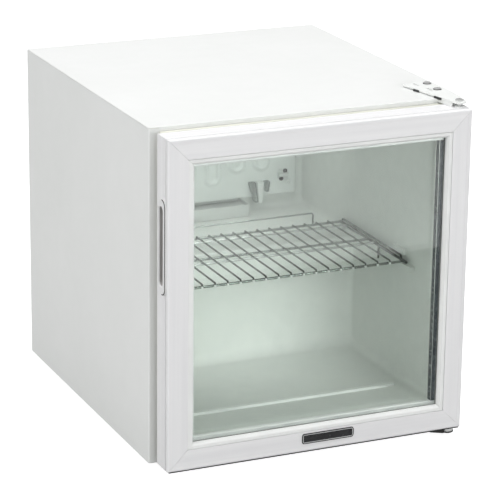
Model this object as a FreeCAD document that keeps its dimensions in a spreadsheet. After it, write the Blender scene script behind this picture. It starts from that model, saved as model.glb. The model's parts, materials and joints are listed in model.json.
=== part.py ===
"""Bar fridge with a framed glass door: white steel cabinet, foamed walls, wire shelf, plate evaporator,
compressor compartment and a wire-on-tube condenser at the back.

Axes: +X to the right seen from the front, the door at -Y, +Z up. Millimetres.
Origin: centre of the footprint, on the surface that the feet stand on.
"""
import FreeCAD, Part
import math
import os
import re

import Sketcher

Vector = FreeCAD.Vector

# Driving dimensions, in millimetres
DIMENSIONS = {
    # shared by all pieces: overshoot of cutting shapes, running clearance, small gap, depth of a weld
    "beyond": 1, "running": 0.05, "small_gap": 0.3, "weld": 0.2, "bend_room": 0.5,
    # cabinet
    "cab_width": 430, "cab_height": 438, "cab_depth": 448, "front_y": -210, "foot_height": 12,
    "side_wall": 28, "top_wall": 26, "floor_wall": 26, "back_wall": 26,
    "skin": 1, "edge_round": 0.9, "flange": 14, "liner_skin": 1.5,
    "hump_front": 248, "hump_height": 157, "hump_wall": 28, "hump_round": 3, "floor_round": 16,
    "ridge_back": 71, "ridge_width": 7, "ridge_height": 2.5, "ridge_half": 168,
    "sheet_screw_head": 3.6, "sheet_screw_rise": 2, "sheet_screw_shank": 1.6, "sheet_screw_length": 9,
    "sheet_screw_inset": 9, "head_bevel": 0.35,
    # shelf and its lugs on the liner walls
    "shelf_level": 212.4, "shelf_front": 90, "shelf_rear": 275.2, "shelf_half": 182, "shelf_pitch": 18,
    "wire_radius": 1.25, "wire_drop": 6, "wire_bend": 2.5, "weld_depth": 0.4,
    "bar_radius": 1.75, "second_bar": 18, "middle_bar_rear": 87, "middle_bar_front": 105,
    "side_radius": 2, "side_past": 2.75, "side_reach": 12.5,
    "stop_leg_back": 158.4, "stop_leg_low": 190, "stop_leg_radius": 1.5,
    "rail_radius": 1.5, "rail_rise": 5.4, "rail_inset": 5,
    "rail_bend": 2.25, "back_stop_rise": 17, "back_stop_half": 138.5, "back_stop_bend": 3,
    "lug_length": 31, "lug_height": 7.5, "lug_reach": 8, "lug_front": 62, "rear_lug_front": 226,
    "upper_lug_front": 86, "upper_lug_reach": 5.5,
    # evaporator and what hangs on it
    "plate_half": 178, "plate_low": 216, "plate_high": 396, "plate_y": 199, "plate_thick": 1.5,
    "plate_flange": 11, "plate_roll": 10,
    "channel_radius": 5.6, "channel_sink": 3, "channel_pitch": 19, "channel_shift": 5.4,
    "channel_low": 241, "channel_step": 15.5, "channel_high": 384,
    "spacer_radius": 6, "spacer_inset": 16,
    "plate_screw_head": 4, "plate_screw_rise": 2, "plate_screw_shank": 1.8, "plate_screw_length": 14,
    "clip_left": 98, "clip_top": 239, "clip_depth": 9,
    "clamp_left": 145, "clamp_low": 236.5, "clamp_size": 16, "clamp_thick": 2, "clamp_arch": 3.5,
    "clamp_screw_side": 5, "clamp_screw_inset": 2.6,
    "clamp_screw_head": 2.4, "clamp_screw_rise": 1.6, "clamp_screw_shank": 1.2, "clamp_screw_length": 3,
    "tray_half": 91, "tray_low": 197, "tray_high": 213, "tray_reach": 38, "tray_wall": 1.2,
    # door
    "door_gap": 11, "door_depth": 36, "door_inset_grip": 6.5, "door_inset_hinge": 9.5,
    "door_inset_top": 4.5, "door_inset_bottom": 4,
    "frame_face": 34.5, "frame_wall": 1.8, "frame_round": 2.5, "rebate": 24.5, "lip_reach": 31,
    "mitre_gap": 0.06, "line_inset": 6.5, "line_half": 0.5, "line_depth": 0.5,
    "bead_width": 7.3, "bead_line": 0.4, "bead_lip": 2,
    "glass_set": 7, "glass": 3.2, "glass_gap": 10, "glass_room": 0.2, "spacer_width": 11,
    "key_leg": 48, "key_inset": 3,
    "gasket_edge": 1.5, "gasket_hinge_edge": 11, "gasket_inner": 29,
    "gasket_base": 4, "gasket_neck": 3, "gasket_neck_inset": 3,
    "badge_left": -24, "badge_width": 73, "badge_low": 26.6, "badge_height": 13.8, "badge_thick": 1.2,
    "badge_round": 2,
    "grip_low": 245, "grip_length": 124, "grip_width": 23, "grip_plate": 1.2, "grip_y": -240,
    "grip_round": 11,
    "slot_length": 102, "slot_width": 12, "slot_offset": 4, "cup_depth": 13, "cup_wall": 1.5,
    # hinges
    "pin_inset": 10.5, "pin_back": 17, "pin_radius": 3, "pin_end": 1, "pin_head": 5.5, "pin_rise": 2,
    "bush_radius": 5, "bush_depth": 15, "bush_flange": 6.5, "bush_lip": 1.5,
    "strap": 2.5, "strap_lift": 1, "strap_nose": 9, "slot_half_width": 1.8, "slot_half_length": 5,
    "foot_strap": 3, "hub_radius": 6.5, "hub_depth": 4,
    "hinge_screw_head": 4.6, "hinge_screw_rise": 2.4, "hinge_screw_shank": 2.2, "hinge_screw_length": 15,
    # feet
    "foot_x": 140, "front_foot_y": -165, "rear_foot_y": 200, "foot_radius": 14, "foot_pad": 9,
    "foot_bevel": 2, "foot_shoulder": 3, "foot_neck": 5, "stud_radius": 4, "nut_wall": 4, "nut_height": 9,
    "nut_room": 0.1,
    # machine compartment
    "base_sheet": 1.5, "base_lip": 16, "base_rear_gap": 2,
    "gland_offset": 62, "gland_rise": 8.5, "gland_bore": 3.5, "gland_neck": 6, "gland_flange": 7.5,
    "gland_collar": 3, "gland_cone": 4, "gland_tip": 5.2, "gland_inner": 6, "gland_outer": 15,
    "pump_x": 60, "pump_y": 148, "pump_radius": 57, "pump_low": 25, "pump_high": 136,
    "pump_dome": 26, "pump_heel": 14, "seam_rise": 58, "seam_height": 4, "seam_reach": 3,
    "leg_sheet": 2.5, "leg_x": 62, "leg_y": 42, "leg_margin": 12,
    "stub_rise": 36, "stub_wall": 1, "stub_root": 8, "stub_reach": 12, "discharge_offset": 20,
    "process_x": 26, "process_y": 40, "process_length": 30, "tube_radius": 3,
    "leg_bolt_radius": 4, "leg_bolt_head": 7, "leg_bolt_rise": 4, "grommet_radius": 9, "grommet_waist": 7,
    "relay_left": 48, "relay_right": 2, "relay_front": 30, "relay_rear": 76, "relay_low": 18,
    "relay_high": 56, "relay_round": 4,
    "pan_half_x": 56, "pan_half_y": 46, "pan_height": 15, "pan_wall": 1.5,
    # condenser
    "coil_radius": 2.5, "coil_half": 172, "coil_low": 186, "coil_pitch": 31, "coil_passes": 9,
    "coil_start": 3, "coil_tail": 30, "outlet_inset": 22,
    "fin_radius": 0.8, "fin_pitch": 12, "fin_half": 180, "fin_low": 176, "fin_high": 444,
    "bracket_x": 126, "bracket_half": 4.5, "bracket_rise": 8, "bracket_tab": 11, "bracket_thick": 2.5,
    # tubes of the cooling circuit
    "lift_gap": 15, "discharge_bend": 11, "liquid_bend": 20, "suction_gap": 62, "suction_bend": 20,
    "drier_rise": 42, "drier_front": 40, "drier_radius": 8, "drier_length": 90, "drier_neck": 6,
    "drier_shoulder": 16, "capillary_radius": 1.2, "capillary_back": 16, "capillary_bend": 10,
    "ring_wall": 4, "ring_flare": 6, "ring_height": 6,
    # thermostat and the lead to the compressor
    "stat_width": 50, "stat_depth": 46, "stat_low": 96, "stat_height": 54, "stat_round": 2.5,
    "knob_radius": 15, "knob_depth": 13, "knob_gap": 0.4, "knob_skirt": 3, "knob_step": 4.5,
    "knob_bevel": 3, "knob_taper": 4, "shaft_radius": 3, "shaft_depth": 9,
    "pointer_half": 1.5, "pointer_rise": 1.6, "pointer_low": 9, "pointer_high": 10,
    "lead_radius": 3.2, "lead_bend": 24, "lead_y": 62, "lead_low": 30, "lead_high": 12, "lead_middle": 110,
}

doc = FreeCAD.newDocument("bar_fridge")
sheet = doc.addObject("Spreadsheet::Sheet", "dims")
for row, (alias, number) in enumerate(DIMENSIONS.items(), start=1):
    sheet.set(f"A{row}", str(number))
    sheet.setAlias(f"A{row}", alias)
doc.recompute()

# Places worked out from the driving dimensions, as expressions
CAB_X = "cab_width / 2"
CAB_IN_X = "cab_width / 2 - skin"
CAB_BACK = "front_y + cab_depth"
CAB_LOW = "foot_height"
CAB_TOP = "foot_height + cab_height"
IN_X = "cab_width / 2 - side_wall"
IN_LOW = "foot_height + floor_wall"
IN_TOP = "foot_height + cab_height - top_wall"
IN_BACK = "front_y + cab_depth - back_wall"
HUMP_Y = "front_y + hump_front"
HUMP_TOP = f"{IN_LOW} + hump_height"
BAY_Y = f"{HUMP_Y} + hump_wall"
BAY_TOP = f"{HUMP_TOP} - hump_wall"
BAY_CEILING = f"{BAY_TOP} - skin"
FLANGE_X = "cab_width / 2 - flange"
FEET_X = ("-foot_x", "foot_x")

DOOR_LEFT = "door_inset_grip - cab_width / 2"
DOOR_RIGHT = "cab_width / 2 - door_inset_hinge"
DOOR_BACK = "front_y - door_gap"
DOOR_FRONT = "front_y - door_gap - door_depth"
DOOR_LOW = "foot_height + door_inset_bottom"
DOOR_TOP = "foot_height + cab_height - door_inset_top"
PIN_X = f"{DOOR_RIGHT} - pin_inset"
PIN_Y = f"{DOOR_FRONT} + pin_back"

# The rearmost wires stand as far behind the origin as the badge stands in front of it
REAR_FIN_Y = f"-({DOOR_FRONT} - badge_thick) - fin_radius"
COIL_Y = f"{REAR_FIN_Y} - fin_radius - coil_radius + weld"
FRONT_FIN_Y = f"{COIL_Y} - fin_radius - coil_radius + weld"
COIL_TOP = "coil_low + coil_pitch * (coil_passes - 1)"

TURN_TO = {
    "X": FreeCAD.Rotation(Vector(0, 1, 0), 90),
    "Y": FreeCAD.Rotation(Vector(1, 0, 0), -90),
    "-Y": FreeCAD.Rotation(Vector(1, 0, 0), 90),
    "Z": FreeCAD.Rotation(),
    "-Z": FreeCAD.Rotation(Vector(1, 0, 0), 180),
}
PLANE_ALONG = {"X": "YZ_Plane", "Y": "XZ_Plane", "Z": "XY_Plane"}
SAME_PLACE = 0.01
nodes = []


def linked(text):
    """Expression text in which each dimension's name points at its cell of the sheet."""
    return re.sub(r"[a-z_]+", lambda word: f"dims.{word[0]}" if word[0] in DIMENSIONS else word[0], text)


def size(text):
    """Number that an expression has now."""
    return float(sheet.evalExpression(linked(text)))


def bind(thing, prop, text):
    thing.setExpression(prop, linked(text))


def bind_base(thing, place):
    for axis, text in zip("xyz", place):
        bind(thing, "Placement.Base." + axis, text)


def at(**place):
    """Test of whether a point lies at the given coordinates."""
    wanted = {axis: size(text) for axis, text in place.items()}
    return lambda point: all(abs(getattr(point, axis) - value) < SAME_PLACE for axis, value in wanted.items())


def node(thing):
    """Keep a finished piece for writing."""
    nodes.append(thing)
    return thing


def box(label, low, high):
    """Block between two corners."""
    block = doc.addObject("Part::Box", label)
    for prop, start, end in zip(("Length", "Width", "Height"), low, high):
        bind(block, prop, f"({end}) - ({start})")
    bind_base(block, low)
    return block


def rod(label, start, radius, length, axis="Z"):
    """Round bar from its start along one axis."""
    bar = doc.addObject("Part::Cylinder", label)
    bar.Placement = FreeCAD.Placement(Vector(), TURN_TO[axis])
    bind(bar, "Radius", radius)
    bind(bar, "Height", length)
    bind_base(bar, start)
    return bar


def fuse(label, pieces):
    joined = doc.addObject("Part::MultiFuse", label)
    joined.Shapes = pieces
    return joined


def cut(label, base, tools):
    rest = doc.addObject("Part::Cut", label)
    rest.Base = base
    rest.Tool = tools[0] if len(tools) == 1 else fuse(label + "_tools", tools)
    return rest


def group(label, pieces):
    """Several separate solids in one node."""
    held = doc.addObject("Part::Compound", label)
    held.Links = pieces
    return held


def rounded(label, base, radius, wanted):
    """Edges of a block whose middle passes the test, rounded."""
    doc.recompute()
    soft = doc.addObject("Part::Fillet", label)
    soft.Base = base
    radius = size(radius)
    picked = [i for i, edge in enumerate(base.Shape.Edges, start=1) if wanted(edge.CenterOfMass)]
    soft.Edges = [(i, radius, radius) for i in picked]
    return soft


def sketch_on(body, name, axis, place, loops):
    """Sketch of closed outlines across one axis, every corner tied to the sheet."""
    drawing = body.newObject("Sketcher::SketchObject", name)
    plane = next(item for item in body.Origin.OriginFeatures if item.Role == PLANE_ALONG[axis])
    drawing.AttachmentSupport = [(plane, "")]
    drawing.MapMode = "FlatFace"
    sign = "-" if axis == "Y" else ""
    bind(drawing, "AttachmentOffset.Base.z", f"{sign}({place})")
    for loop in loops:
        corners = [Vector(size(a), size(b), 0) for a, b in loop]
        lines = []
        for here, there in zip(corners, corners[1:] + corners[:1]):
            lines.append(drawing.addGeometry(Part.LineSegment(here, there)))
        for before, line in zip(lines[-1:] + lines[:-1], lines):
            drawing.addConstraint(Sketcher.Constraint("Coincident", before, 2, line, 1))
        for line, corner, texts in zip(lines, corners, loop):
            for kind, value, text in zip(("DistanceX", "DistanceY"), corner, texts):
                number = drawing.addConstraint(Sketcher.Constraint(kind, -1, 1, line, 1, value))
                bind(drawing, f"Constraints[{number}]", text)
    return drawing


def pad_on(body, name, axis, start, end, loops):
    """Outlines added to a body between two places along one axis."""
    drawing = sketch_on(body, name + "_outline", axis, end if axis == "Y" else start, loops)
    raised = body.newObject("PartDesign::Pad", name)
    raised.Profile = drawing
    bind(raised, "Length", f"({end}) - ({start})")
    return raised


def prism(label, axis, start, end, loops):
    """New body padded between two places along one axis."""
    body = doc.addObject("PartDesign::Body", label)
    pad_on(body, label + "_pad", axis, start, end, loops)
    return body


def pocket(body, name, axis, start, end, loops):
    """Outlines cut out of a body between two places along one axis."""
    drawing = sketch_on(body, name + "_outline", axis, start if axis == "Y" else end, loops)
    hollow = body.newObject("PartDesign::Pocket", name)
    hollow.Profile = drawing
    bind(hollow, "Length", f"({end}) - ({start})")
    return hollow


def round_edges(body, name, radius, wanted):
    """Rounding on the edges of a body whose middle passes the test."""
    doc.recompute()
    base = body.Tip
    picked = [f"Edge{i}" for i, edge in enumerate(base.Shape.Edges, start=1) if wanted(edge.CenterOfMass)]
    soft = body.newObject("PartDesign::Fillet", name)
    soft.Base = (base, picked)
    bind(soft, "Radius", radius)
    return soft


def turned(label, profile, place, axis="Z"):
    """Body turned about its own axis from (radius, height) corners, then set in place."""
    body = doc.addObject("PartDesign::Body", label)
    drawing = sketch_on(body, label + "_outline", "Y", "0", [profile])
    spin = body.newObject("PartDesign::Revolution", label + "_turn")
    spin.Profile = drawing
    spin.ReferenceAxis = (drawing, ["V_Axis"])
    body.Placement = FreeCAD.Placement(Vector(), TURN_TO[axis])
    bind_base(body, place)
    return body


def rectangle(low_a, low_b, high_a, high_b):
    return [(low_a, low_b), (high_a, low_b), (high_a, high_b), (low_a, high_b)]


def bent_rod(label, corners, radius, bend):
    """Round bar along straight runs joined by tangent arcs. Corners and sizes are expressions."""
    points = [Vector(*(size(text) for text in corner)) for corner in corners]
    bend = size(bend)
    edges = []
    here = points[0]
    for before, corner, after in zip(points, points[1:], points[2:]):
        into = (corner - before).normalize()
        out = (after - corner).normalize()
        half_turn = into.getAngle(out) / 2
        reach = bend * math.tan(half_turn)
        start = corner - into * reach
        end = corner + out * reach
        inward = (out - into).normalize()
        middle = corner + inward * (bend / math.cos(half_turn) - bend)
        edges.append(Part.LineSegment(here, start).toShape())
        edges.append(Part.Arc(start, middle, end).toShape())
        here = end
    edges.append(Part.LineSegment(here, points[-1]).toShape())
    ring = Part.Wire(Part.Circle(points[0], points[1] - points[0], size(radius)).toShape())
    bar = doc.addObject("Part::Feature", label)
    bar.Shape = Part.Wire(edges).makePipeShell([ring], True, False)
    return bar


def headed_pin(label, place, head, rise, shank, length, axis="Z"):
    """Round pin: its head stands up from its place along the axis, its shank goes down."""
    bevel = f"{rise} * head_bevel"
    profile = [("0", f"-({length})"), (shank, f"-({length})"), (shank, "0"), (head, "0"),
               (head, f"{rise} - {bevel}"), (f"{head} - {bevel}", rise), ("0", rise)]
    return turned(label, profile, place, axis)


def screws(label, kind, places, axis="Z"):
    """Pan-head screws of one kind, as one node."""
    sizes = [f"{kind}_{name}" for name in ("head", "rise", "shank", "length")]
    pins = [headed_pin(f"{label}_{i}", place, *sizes, axis) for i, place in enumerate(places)]
    return node(group(label, pins))


# Outer cabinet: side sheets with a folded front flange, top sheet, back sheet, base pan
def side_panel(label, sign):
    outer = f"{sign} * ({CAB_X})"
    inner = f"{sign} * ({CAB_IN_X})"
    fold = f"{sign} * ({FLANGE_X})"
    outline = [(outer, "front_y"), (fold, "front_y"), (fold, "front_y + skin"), (inner, "front_y + skin"),
               (inner, CAB_BACK), (outer, CAB_BACK)]
    body = prism(label, "Z", CAB_LOW, f"{CAB_TOP} - skin", [outline])
    round_edges(body, label + "_edge", "edge_round", at(x=outer, y="front_y"))
    return node(body)


side_panel("left_panel", -1)
side_panel("right_panel", 1)

top_sheet = box("top_sheet", (f"-({CAB_X})", "front_y", f"{CAB_TOP} - skin"), (CAB_X, CAB_BACK, CAB_TOP))
top_soft = rounded("top_soft", top_sheet, "edge_round", at(z=CAB_TOP))
top_flange = box("top_flange", (f"-({FLANGE_X})", "front_y", f"{CAB_TOP} - flange"),
                 (FLANGE_X, "front_y + skin", f"{CAB_TOP} - skin"))
node(fuse("top_panel", [top_soft, top_flange]))

node(box("back_panel", (f"-({CAB_IN_X})", f"{CAB_BACK} - skin", BAY_TOP),
         (CAB_IN_X, CAB_BACK, f"{CAB_TOP} - skin")))
BACK_SCREW_RISES = (14, 140, 268)
screws("back_panel_screws", "sheet_screw",
       [(f"{sign} * ({CAB_X} - sheet_screw_inset)", CAB_BACK, f"{BAY_TOP} + {rise}")
        for sign in (-1, 1) for rise in BACK_SCREW_RISES], "Y")

bay_outline = [(BAY_Y, f"{CAB_LOW} + base_sheet"), (f"{BAY_Y} + skin", f"{CAB_LOW} + base_sheet"),
               (f"{BAY_Y} + skin", BAY_CEILING), (CAB_BACK, BAY_CEILING), (CAB_BACK, BAY_TOP),
               (BAY_Y, BAY_TOP)]
node(prism("compartment_panel", "X", f"-({CAB_IN_X})", CAB_IN_X, [bay_outline]))

pan_plate = box("pan_plate", (f"-({CAB_IN_X})", "front_y + skin", CAB_LOW),
                (CAB_IN_X, BAY_Y, f"{CAB_LOW} + skin"))
pan_flange = box("pan_flange", (f"-({FLANGE_X})", "front_y", CAB_LOW),
                 (FLANGE_X, "front_y + skin", f"{CAB_LOW} + flange"))
stud_holes = [rod(f"stud_hole_{i}", (x, "front_foot_y", "0"), "stud_radius + running", "foot_height * 2")
              for i, x in enumerate(FEET_X)]
node(cut("base_pan", fuse("pan_blank", [pan_plate, pan_flange]), stud_holes))


# Foamed wall between the sheets and the liner, with the step over the compressor
def cavity(front, grow):
    """Inside of the cabinet across X, from a front plane, larger all round by a liner thickness."""
    return [(front, f"{IN_LOW} - {grow}"), (f"{HUMP_Y} + {grow}", f"{IN_LOW} - {grow}"),
            (f"{HUMP_Y} + {grow}", f"{HUMP_TOP} - {grow}"), (f"{IN_BACK} + {grow}", f"{HUMP_TOP} - {grow}"),
            (f"{IN_BACK} + {grow}", f"{IN_TOP} + {grow}"), (front, f"{IN_TOP} + {grow}")]


NUT_LOW = f"{CAB_LOW} + skin"
NUT_TOP = f"{NUT_LOW} + nut_height"
LINER_X = f"{IN_X} + liner_skin"
foam_outline = [("front_y + skin", f"{CAB_LOW} + skin"), (BAY_Y, f"{CAB_LOW} + skin"), (BAY_Y, BAY_TOP),
                (f"{CAB_BACK} - skin", BAY_TOP), (f"{CAB_BACK} - skin", f"{CAB_TOP} - skin"),
                ("front_y + skin", f"{CAB_TOP} - skin")]
foam = prism("foam_block", "X", f"-({CAB_IN_X})", CAB_IN_X, [foam_outline])
pocket(foam, "foam_cavity", "X", f"-({LINER_X})", LINER_X, [cavity("front_y - beyond", "liner_skin")])
nut_pockets = [rod(f"nut_pocket_{i}", (x, "front_foot_y", CAB_LOW), "stud_radius + nut_wall",
                   f"{NUT_TOP} - ({CAB_LOW})") for i, x in enumerate(FEET_X)]
node(cut("insulation_foam", foam, nut_pockets))

# Liner: one formed tub with a front lip, the step over the compressor, a floor ridge and shelf lugs
liner = prism("inner_liner", "X", f"-({LINER_X})", LINER_X, [cavity("front_y", "liner_skin")])
pocket(liner, "liner_inside", "X", f"-({IN_X})", IN_X, [cavity("front_y - beyond", "0")])
round_edges(liner, "step_edge", "hump_round", at(x="0", y=HUMP_Y, z=HUMP_TOP))
round_edges(liner, "floor_curve", "floor_round", at(x="0", y=HUMP_Y, z=IN_LOW))
lip_outer = rectangle(f"-({FLANGE_X})", f"{CAB_LOW} + flange", FLANGE_X, f"{CAB_TOP} - flange")
lip_inner = rectangle(f"-({IN_X})", IN_LOW, IN_X, IN_TOP)
pad_on(liner, "liner_lip", "Y", "front_y", "front_y + skin", [lip_outer, lip_inner])
RIDGE_Y = "front_y + ridge_back"
pad_on(liner, "floor_ridge", "Z", IN_LOW, f"{IN_LOW} + ridge_height",
       [rectangle("-ridge_half", RIDGE_Y, "ridge_half", f"{RIDGE_Y} + ridge_width")])

SHELF_WIRE_Z = "shelf_level - wire_radius"
SHELF_BAR_Z = f"{SHELF_WIRE_Z} - wire_radius - bar_radius + weld_depth"
SHELF_RAIL_Z = f"{SHELF_BAR_Z} + rail_rise"
LUG_LOW = f"{SHELF_BAR_Z} - side_radius - small_gap - lug_height"
UPPER_LUG_LOW = f"{SHELF_RAIL_Z} + rail_radius + small_gap"


def wall_lugs(name, front, low, reach):
    """A lug on each side wall, from a place behind the cabinet front."""
    start = f"front_y + {front}"
    outlines = []
    for sign in (-1, 1):
        edges = sorted((f"{sign} * ({IN_X})", f"{sign} * ({IN_X} - {reach})"), key=size)
        outlines.append(rectangle(edges[0], start, edges[1], f"{start} + lug_length"))
    pad_on(liner, name, "Z", low, f"{low} + lug_height", outlines)


wall_lugs("front_lugs", "lug_front", LUG_LOW, "lug_reach")
wall_lugs("rear_lugs", "rear_lug_front", LUG_LOW, "lug_reach")
wall_lugs("upper_lugs", "upper_lug_front", UPPER_LUG_LOW, "upper_lug_reach")
node(liner)

# Wire shelf: round wires front to back, welded on cross bars, with side rails, a raised back stop,
# and a leg on each side that meets the front lug when the shelf is pulled out
SHELF_FRONT = "front_y + shelf_front"
SHELF_REAR = "front_y + shelf_rear"
FRONT_BAR_Y = f"{SHELF_FRONT} - wire_radius - bar_radius + weld_depth"
WIRES_EACH_SIDE = 9
shelf_pieces = []
for i in range(2 * WIRES_EACH_SIDE + 1):
    wire_x = f"{i - WIRES_EACH_SIDE} * shelf_pitch"
    wire_run = [(wire_x, f"{SHELF_REAR} + wire_radius", SHELF_WIRE_Z), (wire_x, SHELF_FRONT, SHELF_WIRE_Z),
                (wire_x, SHELF_FRONT, f"{SHELF_WIRE_Z} - wire_drop")]
    shelf_pieces.append(bent_rod(f"shelf_wire_{i}", wire_run, "wire_radius", "wire_bend"))
CROSS_BARS = (SHELF_REAR, f"{SHELF_REAR} - second_bar", f"{SHELF_REAR} - middle_bar_rear",
              f"{SHELF_REAR} - middle_bar_front", FRONT_BAR_Y)
for i, bar_y in enumerate(CROSS_BARS):
    shelf_pieces.append(rod(f"shelf_bar_{i}", ("-shelf_half", bar_y, SHELF_BAR_Z), "bar_radius",
                            "shelf_half * 2", "X"))
RAIL_REAR = f"{SHELF_REAR} - rail_inset"
RAIL_FRONT = f"{FRONT_BAR_Y} + rail_inset"
for side, side_x in (("left", "-shelf_half"), ("right", "shelf_half")):
    shelf_pieces.append(rod(f"shelf_side_{side}", (side_x, f"{FRONT_BAR_Y} - side_reach", SHELF_BAR_Z),
                            "side_radius", f"{SHELF_REAR} - ({FRONT_BAR_Y}) + side_reach + side_past", "Y"))
    shelf_pieces.append(rod(f"shelf_stop_leg_{side}", (side_x, "front_y + stop_leg_back", "stop_leg_low"),
                            "stop_leg_radius", f"{SHELF_BAR_Z} - stop_leg_low"))
    rail_run = [(side_x, RAIL_REAR, SHELF_BAR_Z), (side_x, RAIL_REAR, SHELF_RAIL_Z),
                (side_x, RAIL_FRONT, SHELF_RAIL_Z), (side_x, RAIL_FRONT, SHELF_BAR_Z)]
    shelf_pieces.append(bent_rod(f"shelf_rail_{side}", rail_run, "rail_radius", "rail_bend"))
STOP_Z = f"{SHELF_BAR_Z} + back_stop_rise"
stop_run = [("-back_stop_half", SHELF_REAR, SHELF_BAR_Z), ("-back_stop_half", SHELF_REAR, STOP_Z),
            ("back_stop_half", SHELF_REAR, STOP_Z), ("back_stop_half", SHELF_REAR, SHELF_BAR_Z)]
shelf_pieces.append(bent_rod("shelf_back_stop", stop_run, "rail_radius", "back_stop_bend"))
node(fuse("wire_shelf", shelf_pieces))

# Evaporator plate with rolled sides and one raised channel winding up and down, held off the liner by spacers
PLATE_REAR = "plate_y + plate_thick"
PLATE_MIDDLE = "plate_y + plate_thick / 2"
PLATE_EDGE_Y = "plate_y + plate_flange"
PLATE_IN_X = "plate_half - plate_thick"
plate_outline = [("-plate_half", "plate_y"), ("plate_half", "plate_y"), ("plate_half", PLATE_EDGE_Y),
                 (PLATE_IN_X, PLATE_EDGE_Y), (PLATE_IN_X, PLATE_REAR), (f"-({PLATE_IN_X})", PLATE_REAR),
                 (f"-({PLATE_IN_X})", PLATE_EDGE_Y), ("-plate_half", PLATE_EDGE_Y)]
plate_sheet = prism("plate_sheet", "Z", "plate_low", "plate_high", [plate_outline])
for side, sign in (("left", -1), ("right", 1)):
    round_edges(plate_sheet, f"plate_roll_{side}", "plate_roll", at(x=f"{sign} * plate_half", y="plate_y"))
    round_edges(plate_sheet, f"plate_inner_roll_{side}", "plate_roll - plate_thick",
                at(x=f"{sign} * ({PLATE_IN_X})", y=PLATE_REAR))
CHANNEL_Y = "plate_y + channel_sink"
CHANNEL_RUNS = 14
LONG_RUNS = 10
channel_route = []
for run in range(CHANNEL_RUNS):
    run_x = f"({run} - {CHANNEL_RUNS - 1} / 2) * channel_pitch + channel_shift"
    low_end = (run_x, CHANNEL_Y, "channel_low" if run < LONG_RUNS else "channel_low + channel_step")
    high_end = (run_x, CHANNEL_Y, "channel_high")
    channel_route += [low_end, high_end] if run % 2 else [high_end, low_end]
channel_tube = bent_rod("channel_tube", channel_route, "channel_radius", "channel_pitch / 2 - bend_room")
channel_rear = box("channel_rear", ("-cab_width", PLATE_MIDDLE, "0"),
                   ("cab_width", "cab_depth", "cab_height"))
node(fuse("evaporator_plate", [plate_sheet, cut("channel_front", channel_tube, [channel_rear])]))

plate_corners = [(f"{sign} * (plate_half - spacer_inset)", level)
                 for sign in (-1, 1) for level in ("plate_low + spacer_inset", "plate_high - spacer_inset")]
spacer_length = f"{IN_BACK} - ({PLATE_REAR})"
node(group("plate_spacers", [rod(f"plate_spacer_{i}", (x, PLATE_REAR, z), "spacer_radius", spacer_length, "Y")
                             for i, (x, z) in enumerate(plate_corners)]))
screws("plate_screws", "plate_screw", [(x, "plate_y", z) for x, z in plate_corners], "-Y")

# Clear tapered clips for the sensing bulb, and the clamp that holds the thin tube, all on the plate's front
CLIP_PRONGS = {
    "left": [(0, 0), (10, 0), (14.5, -30), (9, -30)],
    "right": [(12, 0), (22.5, 0), (19.5, -31.5), (14.8, -31.5)],
    "small": [(24, -0.5), (32.5, -0.5), (30.5, -16), (25.5, -16)],
}
clip_prongs = []
for name, corners in CLIP_PRONGS.items():
    outline = [(f"clip_left + {x}", f"clip_top + {z}") for x, z in corners]
    clip_prongs.append(prism(f"clip_{name}", "Y", "plate_y - clip_depth", "plate_y", [outline]))
node(group("bulb_clips", clip_prongs))

CLAMP_FRONT = "plate_y - clamp_thick"
CLAMP_RIGHT = "clamp_left + clamp_size"
CLAMP_HIGH = "clamp_low + clamp_size"
clamp_pad = box("clamp_pad", ("clamp_left", CLAMP_FRONT, "clamp_low"), (CLAMP_RIGHT, "plate_y", CLAMP_HIGH))
clamp_bar = rod("clamp_bar", ("clamp_left", CLAMP_FRONT, "clamp_low + clamp_size / 2"), "clamp_arch",
                "clamp_size", "X")
clamp_rear = box("clamp_rear", ("0", "plate_y - clamp_thick / 2", "0"),
                 ("cab_width", "cab_depth", "cab_height"))
node(fuse("capillary_clamp", [clamp_pad, cut("clamp_front", clamp_bar, [clamp_rear])]))
screws("clamp_screws", "clamp_screw",
       [("clamp_left + clamp_screw_side", CLAMP_FRONT, "clamp_low + clamp_screw_inset"),
        (f"{CLAMP_RIGHT} - clamp_screw_side", CLAMP_FRONT, f"{CLAMP_HIGH} - clamp_screw_inset")], "-Y")


def open_tray(label, low, high, wall):
    """Open tray between two corners, with walls and floor of one thickness."""
    block = box(label + "_block", low, high)
    inside = box(label + "_inside", [f"{text} + {wall}" for text in low],
                 [f"{text} - {wall}" for text in high[:2]] + [f"{high[2]} + beyond"])
    return node(cut(label, block, [inside]))


# Drip tray under the plate, fixed to the back of the liner
open_tray("drip_tray", ("-tray_half", f"{IN_BACK} - tray_reach", "tray_low"),
          ("tray_half", IN_BACK, "tray_high"), "tray_wall")

# Door frame: four mitred hollow rails, with snap-in beads that hold the glazing from the front
DOOR_SIDES = {"top": ("Z", 1), "bottom": ("Z", -1), "left": ("X", -1), "right": ("X", 1)}


def door_x(sign, inward):
    """X at a distance inward from the door's left (-1) or right (1) edge."""
    return f"{DOOR_RIGHT} - ({inward})" if sign > 0 else f"{DOOR_LEFT} + ({inward})"


def door_z(sign, inward):
    """Z at a distance inward from the door's bottom (-1) or top (1) edge."""
    return f"{DOOR_TOP} - ({inward})" if sign > 0 else f"{DOOR_LOW} + ({inward})"


def door_rectangle(inward):
    """Outline of the door, smaller all round."""
    return rectangle(door_x(-1, inward), door_z(-1, inward), door_x(1, inward), door_z(1, inward))


def across(side, inward, depth):
    """Place in a rail's section: inward from the door's outer edge, depth behind its front face."""
    direction, sign = DOOR_SIDES[side]
    y = f"{DOOR_FRONT} + {depth}"
    return (y, door_z(sign, inward)) if direction == "Z" else (door_x(sign, inward), y)


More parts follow.
